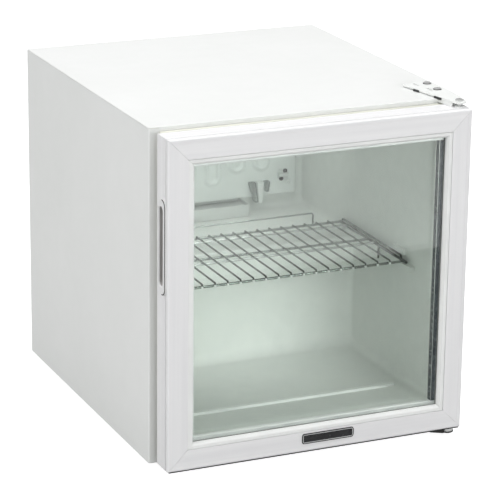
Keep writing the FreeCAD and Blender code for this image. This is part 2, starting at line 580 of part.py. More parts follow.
def mitred_bar(label, side, loops, round_outer=False):
    """Bar along one side of the door, cut at 45 degrees at both ends."""
    outlines = [[across(side, inward, depth) for inward, depth in loop] for loop in loops]
    direction, sign = DOOR_SIDES[side]
    if direction == "Z":
        body = prism(label, "X", DOOR_LEFT, DOOR_RIGHT, outlines)
        outer_edge = at(y=DOOR_FRONT, z=door_z(sign, "0"))
    else:
        body = prism(label, "Z", DOOR_LOW, DOOR_TOP, outlines)
        outer_edge = at(x=door_x(sign, "0"), y=DOOR_FRONT)
    if round_outer:
        round_edges(body, label + "_round", "frame_round", outer_edge)
    far = "frame_face + beyond"
    wedge = [("-beyond", "mitre_gap - beyond"), (far, f"{far} + mitre_gap"), (far, "-beyond")]
    wedges = []
    for end in (-1, 1):
        if direction == "Z":
            wedges.append([(door_x(end, along), door_z(sign, inward)) for inward, along in wedge])
        else:
            wedges.append([(door_x(sign, inward), door_z(end, along)) for inward, along in wedge])
    pocket(body, label + "_mitres", "Y", f"{DOOR_FRONT} - beyond", f"{DOOR_BACK} + beyond", wedges)
    return body


GLASS_BACK = "glass_set + glass * 2 + glass_gap"
LIP_FRONT = f"{GLASS_BACK} + glass_room"
BEAD_START = "frame_face - bead_width"
RAIL_FACE_END = f"{BEAD_START} - bead_line"
RAIL_SECTION = [("0", "0"), ("line_inset - line_half", "0"), ("line_inset", "line_depth"),
                ("line_inset + line_half", "0"), (RAIL_FACE_END, "0"), (RAIL_FACE_END, "glass_set"),
                ("rebate", "glass_set"), ("rebate", LIP_FRONT), ("lip_reach", LIP_FRONT),
                ("lip_reach", "door_depth"), ("0", "door_depth")]
RAIL_HOLLOW = rectangle("frame_wall", "frame_wall", "rebate - frame_wall", "door_depth - frame_wall")
BEAD_SECTION = [(BEAD_START, "bead_line"), ("frame_face", "glass_set - bead_lip"),
                ("frame_face", "glass_set"), (BEAD_START, "glass_set")]
rails = {side: mitred_bar(f"{side}_rail_bar", side, [RAIL_SECTION, RAIL_HOLLOW], round_outer=True)
         for side in DOOR_SIDES}
node(group("glazing_beads", [mitred_bar(f"bead_{side}", side, [BEAD_SECTION]) for side in DOOR_SIDES]))


def bush_hole(label, edge_z):
    """Bore for a hinge bush, through the door's edge at one height."""
    return rod(label, (PIN_X, PIN_Y, f"{edge_z} - bush_depth"), "bush_radius", "bush_depth * 2")


SLOT_Y = "grip_y + slot_offset"
SLOT_LOW = "grip_low + (grip_length - slot_length) / 2"
SLOT_HIGH = f"{SLOT_LOW} + slot_length"
CUP_HALF = "slot_width / 2 + cup_wall"
cup_hole = box("cup_hole", (door_x(-1, "-beyond"), f"{SLOT_Y} - ({CUP_HALF})", f"{SLOT_LOW} - cup_wall"),
               (door_x(-1, "frame_wall + beyond"), f"{SLOT_Y} + {CUP_HALF}", f"{SLOT_HIGH} + cup_wall"))
node(cut("door_top_rail", rails["top"], [bush_hole("top_bush_hole", DOOR_TOP)]))
node(cut("door_bottom_rail", rails["bottom"], [bush_hole("bottom_bush_hole", DOOR_LOW)]))
node(cut("door_left_stile", rails["left"], [cup_hole]))
rails["right"].Label = "door_right_stile"
node(rails["right"])


# Corner keys inside the hollow rails
def corner_key(label, sign_x, sign_z):
    """L-shaped block in the hollow of two rails at one corner."""
    near = "frame_wall + glass_room"
    far = "rebate - frame_wall - glass_room"
    legs = []
    for name, reach_x, reach_z in (("flat", "key_leg", far), ("upright", far, "key_leg")):
        ends_x = sorted((door_x(sign_x, near), door_x(sign_x, reach_x)), key=size)
        ends_z = sorted((door_z(sign_z, near), door_z(sign_z, reach_z)), key=size)
        legs.append(box(f"{label}_{name}", (ends_x[0], f"{DOOR_FRONT} + frame_wall + key_inset", ends_z[0]),
                        (ends_x[1], f"{DOOR_BACK} - frame_wall - key_inset", ends_z[1])))
    return fuse(label, legs)


keys = []
for name, sign_z, edge_z in (("top", 1, DOOR_TOP), ("bottom", -1, DOOR_LOW)):
    keys.append(corner_key(f"key_{name}_left", -1, sign_z))
    keys.append(cut(f"key_{name}_right_bored", corner_key(f"key_{name}_right", 1, sign_z),
                    [bush_hole(f"key_{name}_bore", edge_z)]))
node(group("corner_keys", keys))


# Double glazing and the seal
def pane(label, depth):
    edge = "rebate + glass_room"
    y = f"{DOOR_FRONT} + {depth}"
    return node(box(label, (door_x(-1, edge), y, door_z(-1, edge)),
                    (door_x(1, edge), f"{y} + glass", door_z(1, edge))))


def door_ring(label, outer, width, start, end):
    """Rectangular ring, its outer edge inward from the door's outer edge."""
    return prism(label, "Y", start, end, [door_rectangle(outer), door_rectangle(f"{outer} + {width}")])


pane("outer_glass", "glass_set")
pane("inner_glass", "glass_set + glass + glass_gap")
SPACER_Y = f"{DOOR_FRONT} + glass_set + glass"
node(door_ring("glass_spacer", "rebate + glass_room", "spacer_width", SPACER_Y, f"{SPACER_Y} + glass_gap"))



def gasket_ring(label, narrower, start, end):
    """Ring of the seal, narrower at both of its edges, set further in beside the hinge."""
    edge = f"gasket_edge + {narrower}"
    outer = rectangle(door_x(-1, edge), door_z(-1, edge), door_x(1, f"gasket_hinge_edge + {narrower}"),
                      door_z(1, edge))
    return prism(label, "Y", start, end, [outer, door_rectangle(f"gasket_inner - {narrower}")])


GASKET_NECK_Y = f"{DOOR_BACK} + gasket_base"
GASKET_HEAD_Y = f"{GASKET_NECK_Y} + gasket_neck"
node(fuse("door_gasket", [gasket_ring("gasket_base", "0", DOOR_BACK, GASKET_NECK_Y),
                          gasket_ring("gasket_neck", "gasket_neck_inset", GASKET_NECK_Y, GASKET_HEAD_Y),
                          gasket_ring("gasket_head", "0", GASKET_HEAD_Y, "front_y - small_gap")]))

# Plain badge plate on the bottom rail
badge = prism("badge_plate", "Y", f"{DOOR_FRONT} - badge_thick", DOOR_FRONT,
              [rectangle("badge_left", "badge_low", "badge_left + badge_width", "badge_low + badge_height")])
round_edges(badge, "badge_corners", "badge_round", at(y=f"{DOOR_FRONT} - badge_thick / 2"))
node(badge)

# Finger grip let into the left stile
GRIP_FACE = f"{DOOR_LEFT} - grip_plate"
CUP_FLOOR = f"{DOOR_LEFT} + cup_depth"
grip = prism("handle_insert", "X", GRIP_FACE, DOOR_LEFT,
             [rectangle("grip_y - grip_width / 2", "grip_low", "grip_y + grip_width / 2",
                        "grip_low + grip_length")])
round_edges(grip, "grip_ends", "grip_round", at(x=f"{GRIP_FACE} + grip_plate / 2"))
pad_on(grip, "grip_cup", "X", DOOR_LEFT, CUP_FLOOR,
       [rectangle(f"{SLOT_Y} - ({CUP_HALF})", f"{SLOT_LOW} - cup_wall", f"{SLOT_Y} + {CUP_HALF}",
                  f"{SLOT_HIGH} + cup_wall")])
pocket(grip, "grip_slot", "X", f"{GRIP_FACE} - beyond", f"{CUP_FLOOR} - cup_wall",
       [rectangle(f"{SLOT_Y} - slot_width / 2", SLOT_LOW, f"{SLOT_Y} + slot_width / 2", SLOT_HIGH)])
node(grip)

# Hinges: bushes in the door, pins on steel straps screwed to the cabinet
BUSH_BORE = "pin_radius + running"
BUSH_SECTION = [(BUSH_BORE, "-bush_depth"), ("bush_radius", "-bush_depth"), ("bush_radius", "0"),
                ("bush_flange", "0"), ("bush_flange", "bush_lip"), (BUSH_BORE, "bush_lip")]
node(group("door_bushes", [turned("upper_bush", BUSH_SECTION, (PIN_X, PIN_Y, DOOR_TOP)),
                           turned("lower_bush", BUSH_SECTION, (PIN_X, PIN_Y, DOOR_LOW), "-Z")]))


def from_pin(x, y, z):
    """Place measured from the hinge axis."""
    return (f"{PIN_X} + {x}", f"{PIN_Y} + {y}", z)


def strap(label, corners, low, thick):
    """Flat strap with a round nose at the pin; its corners are measured from the pin."""
    outline = [from_pin(x, y, low)[:2] for x, y in corners]
    plate = prism(label + "_plate", "Z", low, f"{low} + {thick}", [outline])
    return fuse(label, [plate, rod(label + "_nose", (PIN_X, PIN_Y, low), "strap_nose", thick)])


def strap_holes(label, places, low, high):
    """Bores for the pin and for screws at places measured from the pin."""
    depth = f"{high} - ({low}) + beyond * 2"
    bores = [rod(label + "_pin_hole", (PIN_X, PIN_Y, f"{low} - beyond"), "pin_radius", depth)]
    bores += [rod(f"{label}_screw_hole_{i}", from_pin(x, y, f"{low} - beyond"), "hinge_screw_shank", depth)
              for i, (x, y) in enumerate(places)]
    return bores


TOP_STRAP = [(-28, 101), (-9, 0), (9, 0), (14, 44), (14, 109), (4, 116)]
TOP_SCREWS = [(3.7, 94.5), (1.6, 62.4)]
TOP_FEET = [(-25.5, 84, -12, 99), (-18, 54, 6, 68)]
TOP_SLOTS = [(-12.3, 95), (-7.2, 66)]
STRAP_LOW = f"{CAB_TOP} + strap_lift"
STRAP_TOP = f"{STRAP_LOW} + strap"
strap_feet = [box(f"strap_foot_{i}", from_pin(x_low, y_low, CAB_TOP), from_pin(x_high, y_high, STRAP_LOW))
              for i, (x_low, y_low, x_high, y_high) in enumerate(TOP_FEET)]
strap_slots = [box(f"strap_slot_{i}", from_pin(f"{x} - slot_half_width", f"{y} - slot_half_length", CAB_TOP),
                   from_pin(f"{x} + slot_half_width", f"{y} + slot_half_length", STRAP_TOP))
               for i, (x, y) in enumerate(TOP_SLOTS)]
top_blank = fuse("top_bracket_blank", [strap("top_strap", TOP_STRAP, STRAP_LOW, "strap")] + strap_feet)
top_bores = strap_holes("top_strap", TOP_SCREWS, CAB_TOP, STRAP_TOP)
node(cut("top_hinge_bracket", top_blank, top_bores + strap_slots))
node(headed_pin("top_hinge_pin", (PIN_X, PIN_Y, STRAP_TOP), "pin_head", "pin_rise", "pin_radius",
                f"{STRAP_TOP} - ({DOOR_TOP} - bush_depth + pin_end)"))
screws("top_hinge_screws", "hinge_screw", [from_pin(x, y, STRAP_TOP) for x, y in TOP_SCREWS])

BOTTOM_STRAP = [(-34, 90), (-34, 60), (-9, 0), (9, 0), (14, 44), (14, 90)]
BOTTOM_SCREWS = [(-24, 80), (3, 80)]
BOTTOM_STRAP_LOW = f"{CAB_LOW} - foot_strap"
node(cut("bottom_hinge_bracket", strap("bottom_strap", BOTTOM_STRAP, BOTTOM_STRAP_LOW, "foot_strap"),
         strap_holes("bottom_strap", BOTTOM_SCREWS, BOTTOM_STRAP_LOW, CAB_LOW)))
HUB_LOW = f"{BOTTOM_STRAP_LOW} - hub_depth"
SHOULDER_TOP = f"{DOOR_LOW} - bush_lip - small_gap"
LOWER_PIN_TOP = f"{DOOR_LOW} + bush_depth - pin_end"
LOWER_PIN = [("0", HUB_LOW), ("hub_radius", HUB_LOW), ("hub_radius", BOTTOM_STRAP_LOW),
             ("pin_radius", BOTTOM_STRAP_LOW), ("pin_radius", CAB_LOW), ("hub_radius", CAB_LOW),
             ("hub_radius", SHOULDER_TOP), ("pin_radius", SHOULDER_TOP), ("pin_radius", LOWER_PIN_TOP),
             ("0", LOWER_PIN_TOP)]
node(turned("bottom_hinge_pin", LOWER_PIN, (PIN_X, PIN_Y, "0")))
screws("bottom_hinge_screws", "hinge_screw",
       [from_pin(x, y, BOTTOM_STRAP_LOW) for x, y in BOTTOM_SCREWS], "-Z")

# Feet: levelling feet turn in nuts at the front, plain feet at the back
STUD_TOP = f"{NUT_TOP} - beyond"
FRONT_FOOT = [("0", "0"), ("foot_radius - foot_bevel", "0"), ("foot_radius", "foot_bevel"),
              ("foot_radius", "foot_pad - foot_shoulder"), ("foot_radius - foot_neck", "foot_pad"),
              ("stud_radius", "foot_pad"), ("stud_radius", STUD_TOP), ("0", STUD_TOP)]
REAR_FOOT = [("0", "0"), ("foot_radius - foot_bevel", "0"), ("foot_radius", "foot_bevel"),
             ("foot_radius", CAB_LOW), ("0", CAB_LOW)]
NUT_RADIUS = "stud_radius + nut_wall - nut_room"
NUT = rectangle("stud_radius + running", "0", NUT_RADIUS, "nut_height")
for side, x in zip(("left", "right"), FEET_X):
    node(turned(f"front_foot_{side}", FRONT_FOOT, (x, "front_foot_y", "0")))
node(group("foot_nuts", [turned(f"foot_nut_{i}", NUT, (x, "front_foot_y", NUT_LOW))
                         for i, x in enumerate(FEET_X)]))
node(group("rear_feet", [turned(f"rear_foot_{i}", REAR_FOOT, (x, "rear_foot_y", "0"))
                         for i, x in enumerate(FEET_X)]))

# Base sheet of the compressor, and the gland for the power cord in its rear lip
BASE_REAR = f"{CAB_BACK} - base_rear_gap"
BASE_TOP = f"{CAB_LOW} + base_sheet"
LIP_Y = f"{BASE_REAR} - base_sheet"
LIP_TOP = f"{CAB_LOW} + base_lip"
base_outline = [(BAY_Y, CAB_LOW), (BASE_REAR, CAB_LOW), (BASE_REAR, LIP_TOP), (LIP_Y, LIP_TOP),
                (LIP_Y, BASE_TOP), (BAY_Y, BASE_TOP)]
GLAND_X = "pump_x + gland_offset"
GLAND_Z = f"{CAB_LOW} + gland_rise"
gland_hole = rod("gland_hole", (GLAND_X, f"{BASE_REAR} - gland_inner", GLAND_Z), "gland_neck",
                 "gland_outer", "Y")
node(cut("compressor_base", prism("base_bar", "X", f"-({CAB_IN_X})", CAB_IN_X, [base_outline]), [gland_hole]))
GLAND = [("gland_bore", "-gland_inner"), ("gland_neck", "-gland_inner"), ("gland_neck", "0"),
         ("gland_flange", "0"), ("gland_flange", "gland_collar"), ("gland_neck", "gland_cone"),
         ("gland_tip", "gland_outer"), ("gland_bore", "gland_outer")]
node(turned("power_gland", GLAND, (GLAND_X, BASE_REAR, GLAND_Z), "Y"))

# Compressor: domed can with a weld seam, sheet legs on rubber grommets, tube stubs
LEG_LOW = "pump_low - leg_sheet"
STUB_Z = "pump_low + stub_rise"
DISCHARGE_X = "pump_x + pump_radius + stub_reach"
DISCHARGE_Y = "pump_y - discharge_offset"
SUCTION_X = "pump_x - pump_radius - stub_reach"
STUB_LENGTH = "stub_root + stub_reach"
pump_can = rod("pump_can", ("pump_x", "pump_y", "pump_low"), "pump_radius", "pump_high - pump_low")
pump_domed = rounded("pump_domed", pump_can, "pump_dome", at(z="pump_high"))
pump_shell = rounded("pump_shell", pump_domed, "pump_heel", at(z="pump_low"))
pump_seam = rod("pump_seam", ("pump_x", "pump_y", "pump_low + seam_rise"), "pump_radius + seam_reach",
                "seam_height")
pump_legs = box("pump_legs", ("pump_x - leg_x - leg_margin", "pump_y - leg_y - leg_margin", LEG_LOW),
                ("pump_x + leg_x + leg_margin", "pump_y + leg_y + leg_margin", "pump_low"))
STUB_RADIUS = "tube_radius + stub_wall"
stubs = [rod("discharge_stub", ("pump_x + pump_radius - stub_root", DISCHARGE_Y, STUB_Z), STUB_RADIUS,
             STUB_LENGTH, "X"),
         rod("suction_stub", (SUCTION_X, "pump_y", STUB_Z), STUB_RADIUS, STUB_LENGTH, "X"),
         rod("process_stub", ("pump_x + process_x", "pump_y + process_y", STUB_Z), "tube_radius",
             "process_length", "Y")]
leg_places = [(f"pump_x + {sx} * leg_x", f"pump_y + {sy} * leg_y") for sx in (-1, 1) for sy in (-1, 1)]
leg_holes = [rod(f"leg_hole_{i}", (x, y, f"{LEG_LOW} - beyond"), "leg_bolt_radius", "leg_sheet + beyond * 2")
             for i, (x, y) in enumerate(leg_places)]
node(cut("compressor", fuse("pump_blank", [pump_shell, pump_seam, pump_legs] + stubs), leg_holes))
GROMMET_RISE = f"({LEG_LOW} - ({BASE_TOP}))"
GROMMET = [("leg_bolt_radius", "0"), ("grommet_radius", "0"), ("grommet_radius", f"{GROMMET_RISE} / 3"),
           ("grommet_waist", f"{GROMMET_RISE} / 2"), ("grommet_radius", f"{GROMMET_RISE} * 2 / 3"),
           ("grommet_radius", GROMMET_RISE), ("leg_bolt_radius", GROMMET_RISE)]
node(group("compressor_grommets", [turned(f"grommet_{i}", GROMMET, (x, y, BASE_TOP))
                                   for i, (x, y) in enumerate(leg_places)]))
LEG_BOLT = ("leg_bolt_head", "leg_bolt_rise", "leg_bolt_radius", f"pump_low - ({BASE_TOP})")
node(group("compressor_bolts", [headed_pin(f"leg_bolt_{i}", (x, y, "pump_low"), *LEG_BOLT)
                                for i, (x, y) in enumerate(leg_places)]))

RELAY_LEFT = "pump_x - relay_left"
RELAY_REAR = "pump_y + relay_rear"
relay_block = box("relay_block", (RELAY_LEFT, "pump_y + relay_front", "pump_low + relay_low"),
                  ("pump_x - relay_right", RELAY_REAR, "pump_low + relay_high"))
relay_soft = rounded("relay_soft", relay_block, "relay_round", at(y=RELAY_REAR))
relay_bite = rod("relay_bite", ("pump_x", "pump_y", "0"), "pump_radius", "cab_height")
node(cut("relay_cover", relay_soft, [relay_bite]))
open_tray("evaporation_tray", ("pump_x - pan_half_x", "pump_y - pan_half_y", "pump_high"),
          ("pump_x + pan_half_x", "pump_y + pan_half_y", "pump_high + pan_height"), "pan_wall")

# Condenser: one tube winding down the back, with thin wires welded on both sides
COIL_START = "fin_half + coil_start"
OUTLET_X = "-coil_half + outlet_inset"
COIL_END = "coil_low - coil_tail"
coil_route = [(COIL_START, COIL_Y, COIL_TOP)]
for turn in range(DIMENSIONS["coil_passes"] - 1):
    turn_x = "-coil_half" if turn % 2 == 0 else "coil_half"
    for level in (turn, turn + 1):
        coil_route.append((turn_x, COIL_Y, f"{COIL_TOP} - coil_pitch * {level}"))
coil_route += [(OUTLET_X, COIL_Y, "coil_low"), (OUTLET_X, COIL_Y, COIL_END)]
node(bent_rod("condenser_tube", coil_route, "coil_radius", "coil_pitch / 2 - bend_room"))

fins = []
for i in range(2 * DIMENSIONS["fin_half"] // DIMENSIONS["fin_pitch"] + 1):
    fin_x = f"fin_pitch * {i} - fin_half"
    for name, fin_y in (("front", FRONT_FIN_Y), ("rear", REAR_FIN_Y)):
        fins.append(rod(f"fin_{name}_{i}", (fin_x, fin_y, "fin_low"), "fin_radius", "fin_high - fin_low"))
node(group("condenser_wires", fins))

BRACKET_PASSES = (1, 7)
TAB_REAR = f"{CAB_BACK} + bracket_thick"
brackets = []
tab_places = []
for i, (sign, level) in enumerate((sign, level) for sign in (-1, 1) for level in BRACKET_PASSES):
    x = f"{sign} * bracket_x"
    z = f"coil_low + coil_pitch * {level}"
    left = f"{x} - bracket_half"
    right = f"{x} + bracket_half"
    post_low = f"{z} - bracket_rise"
    post = box(f"bracket_post_{i}", (left, CAB_BACK, post_low), (right, COIL_Y, f"{z} + bracket_rise"))
    tab = box(f"bracket_tab_{i}", (left, CAB_BACK, f"{post_low} - bracket_tab"), (right, TAB_REAR, post_low))
    saddle = rod(f"bracket_saddle_{i}", (f"{left} - beyond", COIL_Y, z), "coil_radius",
                 "(bracket_half + beyond) * 2", "X")
    brackets.append(cut(f"bracket_{i}", fuse(f"bracket_blank_{i}", [post, tab]), [saddle]))
    tab_places.append((x, TAB_REAR, f"{post_low} - bracket_tab / 2"))
node(group("condenser_brackets", brackets))
screws("condenser_screws", "sheet_screw", tab_places, "Y")

# Tubes of the cooling circuit, with rubber rings where two of them pass through the compartment's ceiling
LIFT_X = "fin_half + lift_gap"
discharge_run = [(DISCHARGE_X, DISCHARGE_Y, STUB_Z), (LIFT_X, DISCHARGE_Y, STUB_Z), (LIFT_X, COIL_Y, STUB_Z),
                 (LIFT_X, COIL_Y, COIL_TOP), (COIL_START, COIL_Y, COIL_TOP)]
node(bent_rod("discharge_tube", discharge_run, "coil_radius", "discharge_bend"))
DRIER_Z = "pump_low + drier_rise"
DRIER_FRONT = "pump_y - drier_front"
DRIER_REAR = f"{DRIER_FRONT} + drier_length"
DRIER = [("0", "0"), ("coil_radius", "0"), ("coil_radius", "drier_neck"), ("drier_radius", "drier_shoulder"),
         ("drier_radius", "drier_length - drier_shoulder"), ("coil_radius", "drier_length - drier_neck"),
         ("coil_radius", "drier_length"), ("0", "drier_length")]
node(turned("filter_drier", DRIER, (OUTLET_X, DRIER_FRONT, DRIER_Z), "Y"))
node(bent_rod("liquid_tube", [(OUTLET_X, COIL_Y, COIL_END), (OUTLET_X, COIL_Y, DRIER_Z),
                              (OUTLET_X, DRIER_REAR, DRIER_Z)], "coil_radius", "liquid_bend"))
CAPILLARY_Y = f"{DRIER_FRONT} - capillary_back"
node(bent_rod("capillary_tube", [(OUTLET_X, DRIER_FRONT, DRIER_Z), (OUTLET_X, CAPILLARY_Y, DRIER_Z),
                                 (OUTLET_X, CAPILLARY_Y, BAY_CEILING)], "capillary_radius", "capillary_bend"))
RISER_X = "pump_x - pump_radius - suction_gap"
node(bent_rod("suction_tube", [(SUCTION_X, "pump_y", STUB_Z), (RISER_X, "pump_y", STUB_Z),
                               (RISER_X, "pump_y", BAY_CEILING)], "tube_radius", "suction_bend"))


def tube_grommet(label, x, y, radius):
    section = [(radius, "0"), (f"{radius} + ring_wall", "0"), (f"{radius} + ring_flare", "ring_height"),
               (radius, "ring_height")]
    return turned(label, section, (x, y, f"{BAY_CEILING} - ring_height"))


node(group("tube_grommets", [tube_grommet("suction_grommet", RISER_X, "pump_y", "tube_radius"),
                             tube_grommet("capillary_grommet", OUTLET_X, CAPILLARY_Y, "capillary_radius")]))

# Thermostat box on the left sheet, with its knob facing back, and the lead to the compressor
STAT_LEFT = f"-({CAB_IN_X})"
STAT_RIGHT = f"{STAT_LEFT} + stat_width"
KNOB_X = f"{STAT_LEFT} + stat_width / 2"
KNOB_Z = "stat_low + stat_height / 2"
KNOB_FACE = f"{BASE_REAR} + knob_depth"
stat_block = box("stat_block", (STAT_LEFT, f"{BASE_REAR} - stat_depth", "stat_low"),
                 (STAT_RIGHT, BASE_REAR, "stat_low + stat_height"))
stat_soft = rounded("stat_soft", stat_block, "stat_round", at(y=BASE_REAR))
shaft_hole = rod("shaft_hole", (KNOB_X, f"{BASE_REAR} - shaft_depth - beyond", KNOB_Z),
                 "shaft_radius + running", "shaft_depth + beyond * 2", "Y")
node(cut("thermostat_box", stat_soft, [shaft_hole]))
KNOB = [("0", "-shaft_depth"), ("shaft_radius", "-shaft_depth"), ("shaft_radius", "knob_gap"),
        ("knob_radius", "knob_gap"), ("knob_radius", "knob_skirt"), ("knob_radius - knob_bevel", "knob_step"),
        ("knob_radius - knob_taper", "knob_depth"), ("0", "knob_depth")]
knob_body = turned("knob_body", KNOB, (KNOB_X, BASE_REAR, KNOB_Z), "Y")
pointer = box("knob_pointer",
              (f"{KNOB_X} - pointer_half", f"{KNOB_FACE} - beyond", f"{KNOB_Z} - pointer_low"),
              (f"{KNOB_X} + pointer_half", f"{KNOB_FACE} + pointer_rise", f"{KNOB_Z} + pointer_high"))
node(fuse("thermostat_knob", [knob_body, pointer]))
LEAD_Y = "pump_y + lead_y"
LEAD_LOW = "pump_low + lead_low"
LEAD_HIGH = "stat_low + lead_high"
LEAD_X = "pump_x - lead_middle"
node(bent_rod("compressor_lead", [(RELAY_LEFT, LEAD_Y, LEAD_LOW), (LEAD_X, LEAD_Y, LEAD_LOW),
                                  (LEAD_X, LEAD_Y, LEAD_HIGH), (STAT_RIGHT, LEAD_Y, LEAD_HIGH)],
              "lead_radius", "lead_bend"))

# Test every object, then write one file for each piece
doc.recompute()
failed = [thing.Label for thing in doc.Objects if "Invalid" in thing.State or "Error" in thing.State]
failed += [thing.Label for thing in nodes if thing.Shape.isNull() or not thing.Shape.isValid()]
if failed:
    raise RuntimeError("failed objects: " + ", ".join(failed))
os.makedirs("parts", exist_ok=True)
for thing in nodes:
    thing.Shape.exportStep(f"parts/{thing.Label}.step")
print(len(nodes), "pieces written")
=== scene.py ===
"""Bar fridge with a framed glass door: the looks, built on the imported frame.

Numbers are millimetres unless a comment or docstring says otherwise; the scene itself is in metres.
+X to the right seen from the front, the door at -Y, +Z up.
"""
import json
import math

import bmesh
import bpy
import numpy as np
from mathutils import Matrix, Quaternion, Vector


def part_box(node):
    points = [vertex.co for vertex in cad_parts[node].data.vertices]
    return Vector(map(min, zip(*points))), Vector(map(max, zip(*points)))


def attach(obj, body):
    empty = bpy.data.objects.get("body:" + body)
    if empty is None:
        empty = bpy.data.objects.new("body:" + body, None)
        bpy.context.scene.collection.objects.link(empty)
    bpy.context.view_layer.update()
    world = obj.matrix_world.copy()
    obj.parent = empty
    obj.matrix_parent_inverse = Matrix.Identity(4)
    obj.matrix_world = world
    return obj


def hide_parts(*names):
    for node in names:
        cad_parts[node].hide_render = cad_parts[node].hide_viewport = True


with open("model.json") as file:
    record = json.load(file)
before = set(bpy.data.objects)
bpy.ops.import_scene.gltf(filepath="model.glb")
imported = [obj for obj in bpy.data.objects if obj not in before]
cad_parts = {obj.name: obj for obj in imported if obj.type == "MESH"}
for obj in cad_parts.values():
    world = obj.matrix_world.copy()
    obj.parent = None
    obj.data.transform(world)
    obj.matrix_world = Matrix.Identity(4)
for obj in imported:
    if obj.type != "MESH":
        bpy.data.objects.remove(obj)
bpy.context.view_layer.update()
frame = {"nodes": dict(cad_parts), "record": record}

# MM and MERGE are in metres
MM = 0.001
MERGE = 1e-7
TINY = 0.02
RECORD = frame["record"]
SLOT_OF = {part["node"]: part["material_slot"] for part in RECORD["subparts"]}
BODY_OF = {node: body for body, nodes in RECORD["behaviour"]["bodies"].items() for node in nodes}

# Materials: colour, roughness and bump each come from a pattern on object coordinates
PATTERNS = {"noise": "ShaderNodeTexNoise", "cells": "ShaderNodeTexVoronoi"}
PATTERN_LOW = 0.3
PATTERN_HIGH = 0.7


def finish(name, tones, rough, bump, depth=0.0002, stretch=(1, 1, 1), grain="noise", tone="noise",
           sockets=()):
    """Principled material from tones (dark, light, scale), rough (lowest, highest, scale) and
    bump (scale, strength) with its depth in metres."""
    dark, light, tone_scale = tones
    lowest, highest, rough_scale = rough
    bump_scale, strength = bump
    material = bpy.data.materials.new(name)
    material.use_nodes = True
    tree = material.node_tree
    shader = tree.nodes["Principled BSDF"]
    where = tree.nodes.new("ShaderNodeTexCoord")
    spread = tree.nodes.new("ShaderNodeMapping")
    spread.inputs["Scale"].default_value = stretch
    tree.links.new(where.outputs["Object"], spread.inputs["Vector"])

    def pattern(kind, scale):
        texture = tree.nodes.new(PATTERNS[kind])
        texture.inputs["Scale"].default_value = scale
        tree.links.new(spread.outputs["Vector"], texture.inputs["Vector"])
        return texture.outputs[0]

    ramp = tree.nodes.new("ShaderNodeValToRGB")
    for stop, place, colour in zip(ramp.color_ramp.elements, (PATTERN_LOW, PATTERN_HIGH), (dark, light)):
        stop.position = place
        stop.color = (*colour, 1)
    tree.links.new(pattern(tone, tone_scale), ramp.inputs["Fac"])
    tree.links.new(ramp.outputs["Color"], shader.inputs["Base Color"])
    spans = tree.nodes.new("ShaderNodeMapRange")
    limits = (PATTERN_LOW, PATTERN_HIGH, lowest, highest)
    for socket, value in zip(("From Min", "From Max", "To Min", "To Max"), limits):
        spans.inputs[socket].default_value = value
    tree.links.new(pattern("noise", rough_scale), spans.inputs["Value"])
    tree.links.new(spans.outputs["Result"], shader.inputs["Roughness"])
    relief = tree.nodes.new("ShaderNodeBump")
    relief.inputs["Strength"].default_value = strength
    relief.inputs["Distance"].default_value = depth
    tree.links.new(pattern(grain, bump_scale), relief.inputs["Height"])
    tree.links.new(relief.outputs["Normal"], shader.inputs["Normal"])
    for socket, value in dict(sockets).items():
        shader.inputs[socket].default_value = value
    return material


